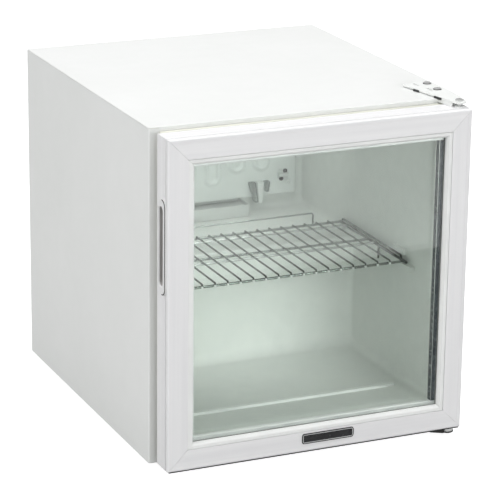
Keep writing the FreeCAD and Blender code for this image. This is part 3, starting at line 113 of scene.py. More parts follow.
METAL = {"Metallic": 1.0}
SATIN = {"Metallic": 0.7}
SHEEN = {"Sheen Weight": 1.0, "Sheen Roughness": 0.4}
ALONG_X = (0.02, 1, 1)
ALONG_Z = (1, 1, 0.02)
SHEET_PAINT = dict(rough=(0.30, 0.42, 50), bump=(700, 0.08))
FRAME_PAINT = dict(tones=((0.725, 0.725, 0.734), (0.775, 0.775, 0.780), 130), rough=(0.30, 0.38, 300),
                   bump=(900, 0.10), depth=0.0001)
DRAWN_WIRE = dict(rough=(0.12, 0.24, 300), bump=(900, 0.1), sockets=METAL)
MOULDED = dict(rough=(0.36, 0.46, 150), bump=(800, 0.15))
SURFACES = {
    "white_steel": dict(SHEET_PAINT, tones=((0.735, 0.75, 0.735), (0.76, 0.772, 0.76), 7)),
    # Painted shade: the top sheet takes a darker copy of the side paint to offset the top lamp, with a sheen
    # that brightens it at low views
    "top_steel_shaded": dict(SHEET_PAINT, tones=((0.675, 0.69, 0.675), (0.70, 0.712, 0.70), 7), sockets=SHEEN),
    "frame_across": dict(FRAME_PAINT, stretch=ALONG_X),
    "frame_upright": dict(FRAME_PAINT, stretch=ALONG_Z),
    "white_liner": dict(tones=((0.75, 0.765, 0.745), (0.79, 0.80, 0.78), 60), rough=(0.36, 0.46, 90),
                        bump=(140, 0.02)),
    # Painted highlight: a whiter copy of the liner plastic, for the floor ridge and the wire tips
    "highlight_white": dict(tones=((0.88, 0.89, 0.88), (0.92, 0.93, 0.92), 40), rough=(0.30, 0.40, 90),
                        bump=(140, 0.05)),
    "foam": dict(tones=((0.62, 0.55, 0.36), (0.72, 0.66, 0.46), 60), rough=(0.85, 0.95, 200),
                 bump=(420, 0.6), depth=0.0006, grain="cells"),
    # Painted reflection: the shelf's chrome is drawn dark here and mid-grey below, for the dark surroundings
    # it mirrors
    "bright_wire": dict(DRAWN_WIRE, tones=((0.13, 0.135, 0.135), (0.22, 0.225, 0.22), 60)),
    "wire_reflection_grey": dict(DRAWN_WIRE, tones=((0.34, 0.35, 0.35), (0.46, 0.47, 0.46), 60)),
    "polished": dict(tones=((0.70, 0.71, 0.70), (0.80, 0.81, 0.80), 60), rough=(0.10, 0.22, 300),
                     bump=(900, 0.1), sockets=SATIN),
    "plain_aluminium": dict(tones=((0.72, 0.73, 0.73), (0.80, 0.81, 0.80), 30), rough=(0.30, 0.42, 120),
                            bump=(900, 0.2), sockets=SATIN),
    "plate_coating": dict(tones=((0.74, 0.76, 0.75), (0.79, 0.81, 0.80), 20), rough=(0.30, 0.42, 80),
                          bump=(600, 0.1)),
    "clear_plastic": dict(tones=((0.84, 0.90, 0.87), (0.92, 0.95, 0.93), 60), rough=(0.03, 0.10, 200),
                          bump=(300, 0.08), sockets={"Transmission Weight": 0.8, "IOR": 1.49}),
    "white_plastic": dict(MOULDED, tones=((0.74, 0.75, 0.74), (0.79, 0.80, 0.79), 30)),
    # Painted shade: a darker copy of the white moulding
    "tray_shaded_white": dict(MOULDED, tones=((0.60, 0.61, 0.60), (0.64, 0.65, 0.64), 30)),
    "tinted_glass": dict(tones=((0.925, 0.965, 0.94), (0.935, 0.97, 0.945), 3), rough=(0.0, 0.012, 30),
                         bump=(6, 0.01), sockets={"Transmission Weight": 1.0, "IOR": 1.5}),
    "seal_rubber": dict(tones=((0.60, 0.60, 0.53), (0.65, 0.65, 0.58), 40), rough=(0.55, 0.70, 200),
                        bump=(900, 0.2)),
    "dark_plate": dict(tones=((0.012, 0.012, 0.013), (0.020, 0.020, 0.022), 60), rough=(0.18, 0.28, 200),
                       bump=(900, 0.08)),
    "cup_shade": dict(tones=((0.38, 0.37, 0.36), (0.44, 0.43, 0.42), 40), rough=(0.42, 0.54, 200),
                      bump=(900, 0.2)),
    # Painted shade for the spacer beside the hinge
    "hinge_spacer_shade": dict(tones=((0.030, 0.036, 0.042), (0.050, 0.056, 0.062), 60), rough=(0.20, 0.30, 200),
                       bump=(900, 0.08)),
    "grip_plastic": dict(tones=((0.70, 0.70, 0.70), (0.74, 0.74, 0.74), 40), rough=(0.36, 0.48, 200),
                         bump=(900, 0.2)),
    "zinc_steel": dict(tones=((0.58, 0.59, 0.60), (0.72, 0.73, 0.73), 110), rough=(0.26, 0.42, 160),
                       bump=(500, 0.15), tone="cells", sockets=METAL),
    "black_rubber": dict(tones=((0.018, 0.018, 0.018), (0.032, 0.032, 0.031), 80), rough=(0.60, 0.80, 250),
                         bump=(1100, 0.35)),
    "black_paint": dict(tones=((0.014, 0.014, 0.015), (0.026, 0.026, 0.027), 50), rough=(0.28, 0.45, 120),
                        bump=(500, 0.2)),
    "copper": dict(tones=((0.62, 0.28, 0.17), (0.78, 0.40, 0.26), 45), rough=(0.24, 0.42, 150),
                   bump=(700, 0.15), sockets=METAL),
    "dark_plastic": dict(tones=((0.025, 0.025, 0.027), (0.040, 0.040, 0.042), 60), rough=(0.42, 0.58, 200),
                         bump=(1200, 0.3)),
    "pale_plastic": dict(tones=((0.64, 0.64, 0.62), (0.70, 0.70, 0.68), 35), rough=(0.42, 0.55, 180),
                         bump=(900, 0.2)),
}
LOOKS = {name: finish(name, **surface) for name, surface in SURFACES.items()}

# Forms: each is a pair of corners and faces
ALONG = {
    "X": lambda a, b, height: (height, a, b),
    "Y": lambda a, b, height: (a, height, b),
    "Z": lambda a, b, height: (a, b, height),
}
TURN = {
    "Y": lambda x, y, z: (x, z, -y),
    "-Y": lambda x, y, z: (x, -z, y),
    "Z": lambda x, y, z: (x, y, z),
    "-Z": lambda x, y, z: (x, -y, -z),
}


def span(node):
    """Lowest and highest corner of a CAD node."""
    return tuple(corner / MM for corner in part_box(node))


def joined(*shapes):
    """One form made of several."""
    corners = []
    faces = []
    for more_corners, more_faces in shapes:
        start = len(corners)
        corners += more_corners
        faces += [[start + i for i in face] for face in more_faces]
    return corners, faces


def loft(rings, loop=False):
    """Skin over rings of equal count, with flat ends, or closed on itself."""
    count = len(rings[0])
    corners = [corner for ring in rings for corner in ring]
    pairs = [(row, row + 1) for row in range(len(rings) - 1)]
    if loop:
        pairs.append((len(rings) - 1, 0))
    faces = []
    for here, there in pairs:
        for i in range(count):
            j = (i + 1) % count
            faces.append([here * count + i, here * count + j, there * count + j, there * count + i])
    if not loop:
        faces.append(list(range(count)))
        faces.append(list(range(len(corners) - count, len(corners))))
    return corners, faces


def rectangle(low_a, low_b, high_a, high_b):
    return [(low_a, low_b), (high_a, low_b), (high_a, high_b), (low_a, high_b)]


def rounded(outline, radii, steps=4):
    """Closed 2-D outline with its corners turned into arcs; a radius of 0 keeps a corner."""
    if not isinstance(radii, (list, tuple)):
        radii = [radii] * len(outline)
    soft = []
    for i, radius in enumerate(radii):
        corner = Vector(outline[i])
        if not radius:
            soft.append(tuple(corner))
            continue
        before = (Vector(outline[i - 1]) - corner).normalized()
        after = (Vector(outline[(i + 1) % len(outline)]) - corner).normalized()
        half = before.angle(after) / 2
        centre = corner + (before + after).normalized() * radius / math.sin(half)
        spoke = corner + before * radius / math.tan(half) - centre
        sweep = math.copysign(math.pi - 2 * half, before.x * after.y - before.y * after.x)
        for step in range(steps + 1):
            angle = -sweep * step / steps
            turned = (spoke.x * math.cos(angle) - spoke.y * math.sin(angle),
                      spoke.x * math.sin(angle) + spoke.y * math.cos(angle))
            soft.append(tuple(centre + Vector(turned)))
    return soft


def inset(outline, distance):
    """Closed 2-D outline moved inward."""
    points = [Vector(point) for point in outline]
    after = points[1:] + points[:1]
    area = sum(a.x * b.y - b.x * a.y for a, b in zip(points, after))
    sides = [(b - a).normalized() for a, b in zip(points, after)]
    normals = [Vector((-side.y, side.x)) * math.copysign(1, area) for side in sides]
    moved = []
    for point, first, second in zip(points, normals[-1:] + normals[:-1], normals):
        moved.append(tuple(point + (first + second) * distance / (1 + first.dot(second))))
    return moved


def slab(axis, outline, low, high, edge=0.4, steps=2):
    """Plate between two heights along an axis, with rounded rims."""
    turns = [math.pi / 2 * step / steps for step in range(steps + 1)]
    rims = [(edge * (1 - math.sin(turn)), edge * (1 - math.cos(turn))) for turn in turns]
    levels = [(move, low + rise) for move, rise in rims]
    levels += [(move, high - rise) for move, rise in reversed(rims)]
    return loft([[ALONG[axis](a, b, height) for a, b in inset(outline, move)] for move, height in levels])


def block(low, high, corner=1.0, edge=0.4, axis="Z"):
    """Box between two corners, with rounded corners and rims."""
    a, b, height = {"Y": (0, 2, 1), "Z": (0, 1, 2)}[axis]
    outline = rounded(rectangle(low[a], low[b], high[a], high[b]), corner)
    return slab(axis, outline, low[height], high[height], edge)


def bent(points, bend, steps=6):
    """Points of a line whose corners are turned into arcs."""
    points = [Vector(point) for point in points]
    line = [points[0]]
    for before, corner, after in zip(points, points[1:], points[2:]):
        into = (corner - before).normalized()
        out = (after - corner).normalized()
        angle = into.angle(out)
        centre = corner + (out - into).normalized() * bend / math.cos(angle / 2)
        spoke = corner - into * bend * math.tan(angle / 2) - centre
        axis = into.cross(out)
        line += [centre + Quaternion(axis, angle * step / steps) @ spoke for step in range(steps + 1)]
    line.append(points[-1])
    return line


def circle(sides):
    """Angles of the corners of a round section."""
    return [2 * math.pi * k / sides for k in range(sides)]


def tube(points, radius, bend=1.0, sides=12, steps=6):
    """Round bar along a bent line, with softened ends."""
    line = bent(points, bend, steps)
    reach = radius * 0.3
    line.insert(1, line[0] + (line[1] - line[0]).normalized() * reach)
    line.insert(-1, line[-1] + (line[-2] - line[-1]).normalized() * reach)
    across = (line[1] - line[0]).orthogonal()
    rings = []
    for i, point in enumerate(line):
        ahead = (line[min(i + 1, len(line) - 1)] - line[max(i - 1, 0)]).normalized()
        across = (across - ahead * across.dot(ahead)).normalized()
        other = ahead.cross(across)
        wide = radius * (0.7 if i in (0, len(line) - 1) else 1)
        rings.append([point + (across * math.cos(turn) + other * math.sin(turn)) * wide
                      for turn in circle(sides)])
    return loft(rings)


def lathe(profile, place, axis="Z", sides=40):
    """Turned form from (radius, height) corners, set at a place along an axis."""
    rings = []
    for radius, height in profile:
        wide = max(radius, TINY)
        ring = [TURN[axis](wide * math.cos(turn), wide * math.sin(turn), height) for turn in circle(sides)]
        rings.append([Vector(corner) + Vector(place) for corner in ring])
    return loft(rings)


HEAD_RINGS = (0.04, 0.14, 0.24, 0.34, 0.44, 0.52, 0.56, 0.7, 0.84, 0.93, 0.98, 1.0, 1.0)
HEAD_SIDES = 64
RIM_FALLS = [0.5, 0.75, 1.0]
CROSS_REACH = 0.54
CROSS_HALF = 0.12
CROSS_FLOOR = 0.25


def screw(place, axis, radius, rise):
    """Domed screw head with a cross recess; its rings are parts of the radius."""
    falls = [0.3 * fraction ** 2 for fraction in HEAD_RINGS[:-len(RIM_FALLS)]] + RIM_FALLS
    rings = []
    for fraction, fall in zip(HEAD_RINGS, falls):
        ring = []
        for k in range(HEAD_SIDES):
            turn = 2 * math.pi * (k + 0.5) / HEAD_SIDES
            u = fraction * math.cos(turn)
            v = fraction * math.sin(turn)
            in_cross = fraction < CROSS_REACH and min(abs(u), abs(v)) < CROSS_HALF
            height = rise * (CROSS_FLOOR if in_cross else 1 - fall)
            ring.append(Vector(TURN[axis](u * radius, v * radius, height)) + Vector(place))
        rings.append(ring)
    return loft(rings)


def plate(outlines, low, high, edge):
    """Flat plate across Z with holes: the first outline is its rim, the others are cut out."""
    curve = bpy.data.curves.new("plate", "CURVE")
    curve.dimensions = "2D"
    curve.fill_mode = "BOTH"
    curve.extrude = (high - low) / 2 - edge
    curve.bevel_depth = edge
    curve.bevel_resolution = 2
    curve.offset = -edge
    for outline in outlines:
        spline = curve.splines.new("POLY")
        spline.points.add(len(outline) - 1)
        for point, (x, y) in zip(spline.points, outline):
            point.co = (x, y, 0, 1)
        spline.use_cyclic_u = True
    holder = bpy.data.objects.new("plate", curve)
    bpy.context.scene.collection.objects.link(holder)
    mesh = bpy.data.meshes.new_from_object(holder.evaluated_get(bpy.context.evaluated_depsgraph_get()))
    middle = Vector((0, 0, (low + high) / 2))
    shape = [vertex.co + middle for vertex in mesh.vertices], [list(face.vertices) for face in mesh.polygons]
    bpy.data.objects.remove(holder)
    bpy.data.curves.remove(curve)
    bpy.data.meshes.remove(mesh)
    return shape


def mesh_from(name, shape):
    """Mesh in metres from a form, with its faces turned outward."""
    mesh = bpy.data.meshes.new(name)
    corners, faces = shape
    mesh.from_pydata([Vector(corner) * MM for corner in corners], [], faces)
    form = bmesh.new()
    form.from_mesh(mesh)
    bmesh.ops.remove_doubles(form, verts=form.verts, dist=MERGE)
    bmesh.ops.recalc_face_normals(form, faces=form.faces)
    form.to_mesh(mesh)
    form.free()
    return mesh


def piece(name, shape, *nodes, look=None, slot=None, sharp=42):
    """Visible piece in place of CAD nodes. Its looks and its body come from the first of them."""
    mesh = shape if isinstance(shape, bpy.types.Mesh) else mesh_from(name, shape)
    mesh.shade_smooth()
    mesh.set_sharp_from_angle(angle=math.radians(sharp))
    slot = slot or SLOT_OF[nodes[0]]
    mesh.materials.append(LOOKS[look or slot])
    thing = bpy.data.objects.new(name, mesh)
    bpy.context.scene.collection.objects.link(thing)
    even = thing.modifiers.new("even_faces", "WEIGHTED_NORMAL")
    even.keep_sharp = True
    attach(thing, BODY_OF[nodes[0]])
    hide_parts(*nodes)
    return thing


def screws(name, node, places, axis, head, look=None):
    """Piece of equal screw heads, given by their radius and rise."""
    piece(name, joined(*(screw(place, axis, *head) for place in places)), node, look=look)


def thicken(thing, wall):
    """Give an open skin a wall behind the faces that show."""
    thing.modifiers.remove(thing.modifiers["even_faces"])
    thick = thing.modifiers.new("thickness", "SOLIDIFY")
    thick.thickness = wall * MM
    thick.offset = -1


# Cabinet sheets with rolled edges
SHEET = 1.0
SEAM = 0.25
FOLD = 2.2
FOLD_INSIDE = 1.2
RAW_EDGE = 0.3
for side, sign in (("left", -1), ("right", 1)):
    low, high = span(f"{side}_panel")
    outer = sign * max(abs(low.x), abs(high.x))
    fold = sign * min(abs(low.x), abs(high.x))
    inner = outer - sign * SHEET
    outline = rounded([(outer, high.y), (outer, low.y), (fold, low.y), (fold, low.y + SHEET),
                       (inner, low.y + SHEET), (inner, high.y)],
                      [RAW_EDGE, FOLD, RAW_EDGE, RAW_EDGE, FOLD_INSIDE, RAW_EDGE])
    piece(f"{side}_sheet", slab("Z", outline, low.z, high.z - SEAM, 0.2), f"{side}_panel")

low, high = span("top_panel")
liner_low, liner_high = span("inner_liner")
lid = slab("Z", rounded(rectangle(low.x, low.y, high.x, high.y), FOLD), high.z - SHEET, high.z, 0.48, 3)
flange_low = (liner_low.x, low.y, low.z)
flange_high = (liner_high.x, low.y + SHEET, high.z - SHEET / 2)
# Painted shade: the top sheet is drawn in the darker copy of the cabinet paint
piece("top_sheet", lid, "top_panel", look="top_steel_shaded")
piece("top_front", block(flange_low, flange_high, RAW_EDGE, 0.2), "top_panel")

low, high = span("back_panel")
back_field = slab("Y", rounded(rectangle(low.x, low.z, high.x, high.z), 1.5), low.y, high.y, RAW_EDGE)
piece("back_sheet", back_field, "back_panel")

# Door frame: mitred extrusions with a grooved round outer corner
DOOR_LOW = span("door_bottom_rail")[0]
DOOR_HIGH = span("door_top_rail")[1]
FRONT = DOOR_LOW.y
DEPTH = DOOR_HIGH.y - FRONT
GAP = 0.08
MITRE_BEVEL = 0.2
FRAME_SHARP = 28
FACE_END = 26.8
FLUSH_END = 27.15
FACE_GROOVE = 0.22
FAINT_GROOVE = 0.05
REBATE = 24.5
LIP = 31.0
GLASS_SET = 7.0
LIP_FRONT = 23.6
CUP = span("handle_insert")
GRIP_Y = -236.0
NOTCH_HALF = 7.5
NOTCH = (GRIP_Y - NOTCH_HALF - FRONT, GRIP_Y + NOTCH_HALF - FRONT)
NOTCH_ENDS = (254.5, 359.5)
NO_NOTCH = 0.01


def rail_outline(notch=NO_NOTCH, face_end=FACE_END, groove=FACE_GROOVE):
    """Section of the frame as (inward, depth), with a notch for the grip cup in its outer face."""
    outer_side = [((0, DEPTH), 1.2), ((0, NOTCH[1]), 0), ((notch, NOTCH[1]), 0), ((notch, NOTCH[0]), 0),
                  ((0, NOTCH[0]), 0), ((0, 9.0), 0), ((1.8, 8.4), 0), ((1.8, 6.0), 0), ((0, 5.4), 0)]
    front_face = [((0, 0), 2.4), ((6.0, 0), 0), ((6.5, groove), 0), ((7.0, 0), 0), ((face_end, 0), 0.3)]
    glass_side = [((face_end, GLASS_SET), 0), ((REBATE, GLASS_SET), 0), ((REBATE, LIP_FRONT), 0),
                  ((LIP, LIP_FRONT), 0.5), ((LIP, DEPTH), 0.8)]
    outline, radii = zip(*(outer_side + front_face + glass_side))
    return rounded(outline, radii, 5)


def on_door(side, inward, depth, along):
    """Point of a rail: along is measured from the door's own corner towards its middle, by sign."""
    back = abs(along) + inward
    y = FRONT + depth
    x = DOOR_HIGH.x - back if along > 0 else DOOR_LOW.x + back
    z = DOOR_HIGH.z - back if along > 0 else DOOR_LOW.z + back
    edges = {"top": (x, y, DOOR_HIGH.z - inward), "bottom": (x, y, DOOR_LOW.z + inward),
             "left": (DOOR_LOW.x + inward, y, z), "right": (DOOR_HIGH.x - inward, y, z)}
    return edges[side]


def bar(side, outline, middle=()):
    """Bar along one side of the door between bevelled mitres, with further rings between them."""
    small = inset(outline, MITRE_BEVEL)
    start = [[on_door(side, a, b, -GAP) for a, b in small],
             [on_door(side, a, b, -GAP - MITRE_BEVEL) for a, b in outline]]
    end = [[on_door(side, a, b, GAP + MITRE_BEVEL) for a, b in outline],
           [on_door(side, a, b, GAP) for a, b in small]]
    return loft(start + list(middle) + end)


plain_section = rail_outline()
grip_section = rail_outline(face_end=FLUSH_END, groove=FAINT_GROOVE)
notched_section = rail_outline(CUP[1].x - DOOR_LOW.x, FLUSH_END, FAINT_GROOVE)
notch_rings = []
for section, z in ((grip_section, NOTCH_ENDS[0] - NO_NOTCH), (notched_section, NOTCH_ENDS[0]),
                   (notched_section, NOTCH_ENDS[1]), (grip_section, NOTCH_ENDS[1] + NO_NOTCH)):
    notch_rings.append([(DOOR_LOW.x + inward, FRONT + depth, z) for inward, depth in section])
RAILS = {
    "top_rail": (bar("top", plain_section), "frame_across"),
    "bottom_rail": (bar("bottom", plain_section), "frame_across"),
    "left_stile": (bar("left", grip_section, notch_rings), "frame_upright"),
    "right_stile": (bar("right", plain_section), "frame_upright"),
}
for name, (shape, look) in RAILS.items():
    piece(name, shape, f"door_{name}", look=look, sharp=FRAME_SHARP)

drip_low = (DOOR_LOW.x + 2, FRONT + 0.8, DOOR_LOW.z - 1.1)
drip_high = (DOOR_HIGH.x - 2, FRONT + 3.2, DOOR_LOW.z + 0.2)
piece("drip_edge", block(drip_low, drip_high, 0.6, 0.2), "door_bottom_rail", slot="black_rubber")

# Glazing beads, with a flush one beside the grip
BEAD_RADII = [0.3, 0.8, 0.4, 0.4, 0, 0]
BEAD = [(27.2, 0.3), (31.4, 0.5), (34.2, 3.6), (34.5, 4.6), (34.5, 7.0), (27.2, 7.0)]
FLUSH_BEAD = [(27.2, 0.1), (33.2, 0.2), (34.3, 1.6), (34.5, 4.6), (34.5, 7.0), (27.2, 7.0)]
bead_bars = [bar(side, rounded(FLUSH_BEAD if side == "left" else BEAD, BEAD_RADII, 3))
             for side in ("left", "top", "bottom", "right")]
piece("bead_strips", joined(*bead_bars), "glazing_beads", sharp=FRAME_SHARP)


def door_loop(profile, grip_side=None, hinge_side=None):
    """Closed ring round the door from (inward, depth) corners; each upright side may have its own."""
    left = grip_side or profile
    right = hinge_side or profile
    rings = []
    for across, edge_x, edge_z in ((left, "left", "low"), (right, "right", "low"),
                                   (right, "right", "high"), (left, "left", "high")):
        ring = []
        for (inward_x, depth), (inward_z, _) in zip(across, profile):
            x = DOOR_LOW.x + inward_x if edge_x == "left" else DOOR_HIGH.x - inward_x
            z = DOOR_LOW.z + inward_z if edge_z == "low" else DOOR_HIGH.z - inward_z
            ring.append((x, FRONT + depth, z))
        rings.append(ring)
    return loft(rings, loop=True)


# Double glazing: two panes with ground edges, a grooved spacer bar and dark sealant on both of its sides
for node in ("outer_glass", "inner_glass"):
    low, high = span(node)
    pane = slab("Y", rounded(rectangle(low.x, low.z, high.x, high.z), 1.0, 3), low.y, high.y, 0.4, 1)
    thing = piece(node.replace("glass", "pane"), pane, node)
    thing.visible_shadow = False
SPACER = [(25, 10.9), (37.2, 10.9), (39.0, 11.7), (39.0, 14.0), (38.6, 14.4), (39.0, 14.8), (39.0, 15.8),
          (38.6, 16.2), (39.0, 16.6), (39.0, 18.7), (37.2, 19.5), (25, 19.5)]
piece("spacer_bar", door_loop(SPACER), "glass_spacer")
SEALANT_DEPTHS = (10.22, 19.53)
sealant = []
for near in SEALANT_DEPTHS:
    far = near + 0.65
    sealant.append(door_loop([(25.2, near), (33.8, near), (34.2, near + 0.35), (33.8, far), (25.2, far)]))
piece("pane_sealant", joined(*sealant), "glass_spacer", slot="black_rubber")

# Painted shade: a dark strip along the spacer beside the hinge, standing in for the shade there, with two
# bright edge lines
STRIP_NEAR = 34.6
STRIP_FAR = 40.6
STRIP_END = 38.9
STRIP_DEPTHS = (10.4, 20.0)
LINE_DEPTHS = (10.8, 19.6)
LINE_RADIUS = 0.35
strip_x = DOOR_HIGH.x - STRIP_FAR
strip_ends = (DOOR_LOW.z + STRIP_END, DOOR_HIGH.z - STRIP_END)
strip_low = (strip_x, FRONT + STRIP_DEPTHS[0], strip_ends[0])
strip_high = (DOOR_HIGH.x - STRIP_NEAR, FRONT + STRIP_DEPTHS[1], strip_ends[1])
piece("shade_strip", block(strip_low, strip_high, 0.6, 0.2), "glass_spacer", look="hinge_spacer_shade",
      slot="dark_plate")
strip_lines = [tube([(strip_x, FRONT + depth, end) for end in strip_ends], LINE_RADIUS, sides=8)
               for depth in LINE_DEPTHS]
piece("edge_lines", joined(*strip_lines), "glass_spacer", look="polished")

# Soft seal: a foot, two folds and a flat head, set further in on the upright sides
SIDE_SETS = (0, 6.4, 10.2)
FOLDS = [(29, 36.0), (29, 38.6), (28, 39.4), (26.4, 39.6), (26.4, 40.4), (28.2, 41.2), (29, 42.6),
         (28.4, 44.6), (26.6, 46.6)]
OUTER_FOLDS = [(1.6, 46.6), (0.8, 45.8), (0.8, 40.6), (1.4, 39.6), (2.6, 39.0), (4.2, 38.6), (5.2, 37.8),
               (5.4, 37.0), (5.4, 36.0)]
profiles = [FOLDS + [(inward + move, depth) for inward, depth in OUTER_FOLDS] for move in SIDE_SETS]
piece("seal", door_loop(*profiles), "door_gasket", sharp=60)

# Dark plate with a bright rim on the bottom rail
BADGE_CORNER = 3.4
low, high = span("badge_plate")
badge = rounded(rectangle(low.x, low.z, high.x, high.z), BADGE_CORNER, 5)
rim_steps = [(1.2, high.y), (1.2, low.y + 0.2), (1.4, low.y + 0.05), (1.65, low.y), (1.9, low.y + 0.05),
             (2.1, low.y + 0.2), (2.1, high.y)]
rim = loft([[(x, y, z) for x, z in inset(badge, move)] for move, y in rim_steps], loop=True)
piece("badge_rim", rim, "badge_plate", slot="plain_aluminium")
piece("badge_face", slab("Y", badge, low.y + 0.2, high.y, 0.15), "badge_plate")

# Finger grip: a rounded bezel and a cup behind its slot, the cup drawn in painted shade and a dark line
# painted as shade along the bezel's front side
CUP_WALL = 1.5
SHADOW_LINE_AHEAD = 4.0
low, high = CUP
grip_face = low.x
cup_floor = high.x
slot_half = NOTCH_HALF - CUP_WALL
stile_face = DOOR_LOW.x + 0.02
bezel = rounded(rectangle(low.y, low.z, high.y, high.z), 11.0, 8)
slot_rim = rounded(rectangle(GRIP_Y - slot_half, NOTCH_ENDS[0] + CUP_WALL,
                             GRIP_Y + slot_half, NOTCH_ENDS[1] - CUP_WALL), 5.6, 8)
cup_outer = inset(slot_rim, -1.4)
bezel_rings = [(cup_outer, grip_face + 1.6), (cup_outer, stile_face), (bezel, stile_face),
               (bezel, grip_face + 0.7), (inset(bezel, 0.2), grip_face + 0.25),
               (inset(bezel, 0.7), grip_face), (inset(slot_rim, -1.2), grip_face),
               (inset(slot_rim, -0.4), grip_face + 0.25), (slot_rim, grip_face + 1.0),
               (slot_rim, grip_face + 1.6)]
cup_rings = [(inset(cup_outer, 1.5), cup_floor), (cup_outer, cup_floor - 1.5), (cup_outer, grip_face + 1.7),
             (slot_rim, grip_face + 1.7), (inset(slot_rim, 0.4), cup_floor - 4.0),
             (inset(slot_rim, 1.6), cup_floor - 2.0), (inset(slot_rim, 3.4), cup_floor - 1.5)]
grip = loft([[(x, y, z) for y, z in ring] for ring, x in bezel_rings], loop=True)
piece("grip", grip, "handle_insert")
# Painted shade: a dark line along the bezel's front side
shadow_line_corners = [(grip_face - 0.1, y, z) for y, z in inset(bezel, 1.5) if y < GRIP_Y - SHADOW_LINE_AHEAD]
shadow_line_corners.sort(key=lambda corner: corner[2])
piece("grip_shadow_line", tube(shadow_line_corners, 0.7, 0.05, 8, 2), "handle_insert", slot="dark_plastic")
grip_cup = loft([[(x, y, z) for y, z in ring] for ring, x in cup_rings])
piece("grip_cup", grip_cup, "handle_insert", look="cup_shade")

# Liner: a formed tub with rounded corners, a step over the compressor and a rolled front lip
low, high = span("inner_liner")
IN_X = 187.0
FLOOR = 38.0
CEILING = 424.0
STEP_Y = 38.0
STEP_TOP = 195.0
BACK = 212.0
CORNER = 10.0
WALL = 1.2
LIP_ROLL = 2.0
LIP_WIDTH = high.x - IN_X
open_end = low.y - 40
inside = rounded([(open_end, FLOOR), (STEP_Y, FLOOR), (STEP_Y, STEP_TOP), (BACK, STEP_TOP), (BACK, CEILING),
                  (open_end, CEILING)], [0, 16, 4, 14, 12, 0], 8)
tub = bmesh.new()
tub.from_mesh(mesh_from("tub", slab("X", inside, -IN_X, IN_X, CORNER, 6)))
bmesh.ops.bisect_plane(tub, geom=tub.verts[:] + tub.edges[:] + tub.faces[:], dist=MERGE,
                       plane_co=(0, (low.y + LIP_ROLL) * MM, 0), plane_no=(0, -1, 0), clear_outer=True)
bmesh.ops.reverse_faces(tub, faces=tub.faces)
rim_edges = [edge for edge in tub.edges if edge.is_boundary]
rim_moves = [(LIP_ROLL * (1 - math.cos(turn)), -LIP_ROLL * math.sin(turn))
             for turn in (0, 0.5, 1.0, math.pi / 2)]
rim_moves += [(LIP_WIDTH, -LIP_ROLL), (LIP_WIDTH, -LIP_ROLL + SHEET)]
for before, after in zip(rim_moves, rim_moves[1:]):
    grown = bmesh.ops.extrude_edge_only(tub, edges=rim_edges)["geom"]
    rim_edges = [item for item in grown if isinstance(item, bmesh.types.BMEdge)]
    for vertex in (item for item in grown if isinstance(item, bmesh.types.BMVert)):
        reach_x = IN_X - CORNER + (before[0] if before[0] > LIP_ROLL else 0)
        centre_x = max(-reach_x, min(reach_x, vertex.co.x / MM))
        centre_z = max(FLOOR + CORNER, min(CEILING - CORNER, vertex.co.z / MM))
        outward = Vector((vertex.co.x / MM - centre_x, 0, vertex.co.z / MM - centre_z)).normalized()
        if after[0] == LIP_WIDTH and before[0] < LIP_WIDTH:
            side_x = math.copysign(abs(outward.x) > TINY, outward.x)
            side_z = math.copysign(abs(outward.z) > TINY, outward.z)
            lip_height = high.z - CEILING if side_z > 0 else FLOOR - low.z
            wide = Vector((LIP_WIDTH - before[0], 0, lip_height - before[0]))
            vertex.co += Vector((side_x * wide.x, 0, side_z * wide.z)) * MM
        else:
            vertex.co += outward * (after[0] - before[0]) * MM
        vertex.co.y += (after[1] - before[1]) * MM
tub_mesh = bpy.data.meshes.new("liner_tub")
tub.to_mesh(tub_mesh)
tub.free()
thicken(piece("liner_tub", tub_mesh, "inner_liner", sharp=50), WALL)

LUG_LENGTH = 31
LUG_HEIGHT = 7.5
LUGS = ((-148, 198.75, 8.0), (16, 198.75, 8.0), (-124, 215.75, 5.5))
lugs = []
for lug_y, lug_z, reach in LUGS:
    for sign in (-1, 1):
        ends = sorted((sign * (IN_X + 0.5), sign * (IN_X - reach)))
        lug_end = (ends[1], lug_y + LUG_LENGTH, lug_z + LUG_HEIGHT)
        lugs.append(block((ends[0], lug_y, lug_z), lug_end, 1.5, 1.0))
piece("liner_lugs", joined(*lugs), "inner_liner")
RIDGE_X = 168
RIDGE_Y = (-139, -132)
RIDGE_RISE = 3.6
ridge = block((-RIDGE_X, RIDGE_Y[0], FLOOR - 1), (RIDGE_X, RIDGE_Y[1], FLOOR + RIDGE_RISE), 3.2, 1.0)
# Painted highlight: the ridge is drawn whiter than the liner it is moulded in
piece("floor_ridge", ridge, "inner_liner", look="highlight_white")

# Wire shelf: wires front to back on cross bars, side rails and a raised back stop, its one chrome drawn
# dark, grey and polished as painted reflections
WIRE_Z = 211.15
BAR_Z = 208.55
RAIL_Z = 213.95
STOP_Z = 225.55
WIRE_FRONT = -124.6
FRONT_BAR_Y = -121.6
FRONT_BAR_Z = 206.6
REAR_Y = 65.2
RAIL_ENDS = (60.2, -117.6)
RAIL_X = 182
STOP_X = 138.5
LEG_Y = -51.6
LEG_LOW = 190
WIRE_RADIUS = 1.25
BAR_RADIUS = 1.75
RAIL_RADIUS = 1.5
WIRE_X = [18 * i for i in range(-9, 10)]


def cross_bar(y, z):
    return tube([(-RAIL_X, y, z), (RAIL_X, y, z)], BAR_RADIUS)


def bow(start, end, base, top):
    """Corners of a wire bent up at one place and down at another."""
    return [(*start, base), (*start, top), (*end, top), (*end, base)]


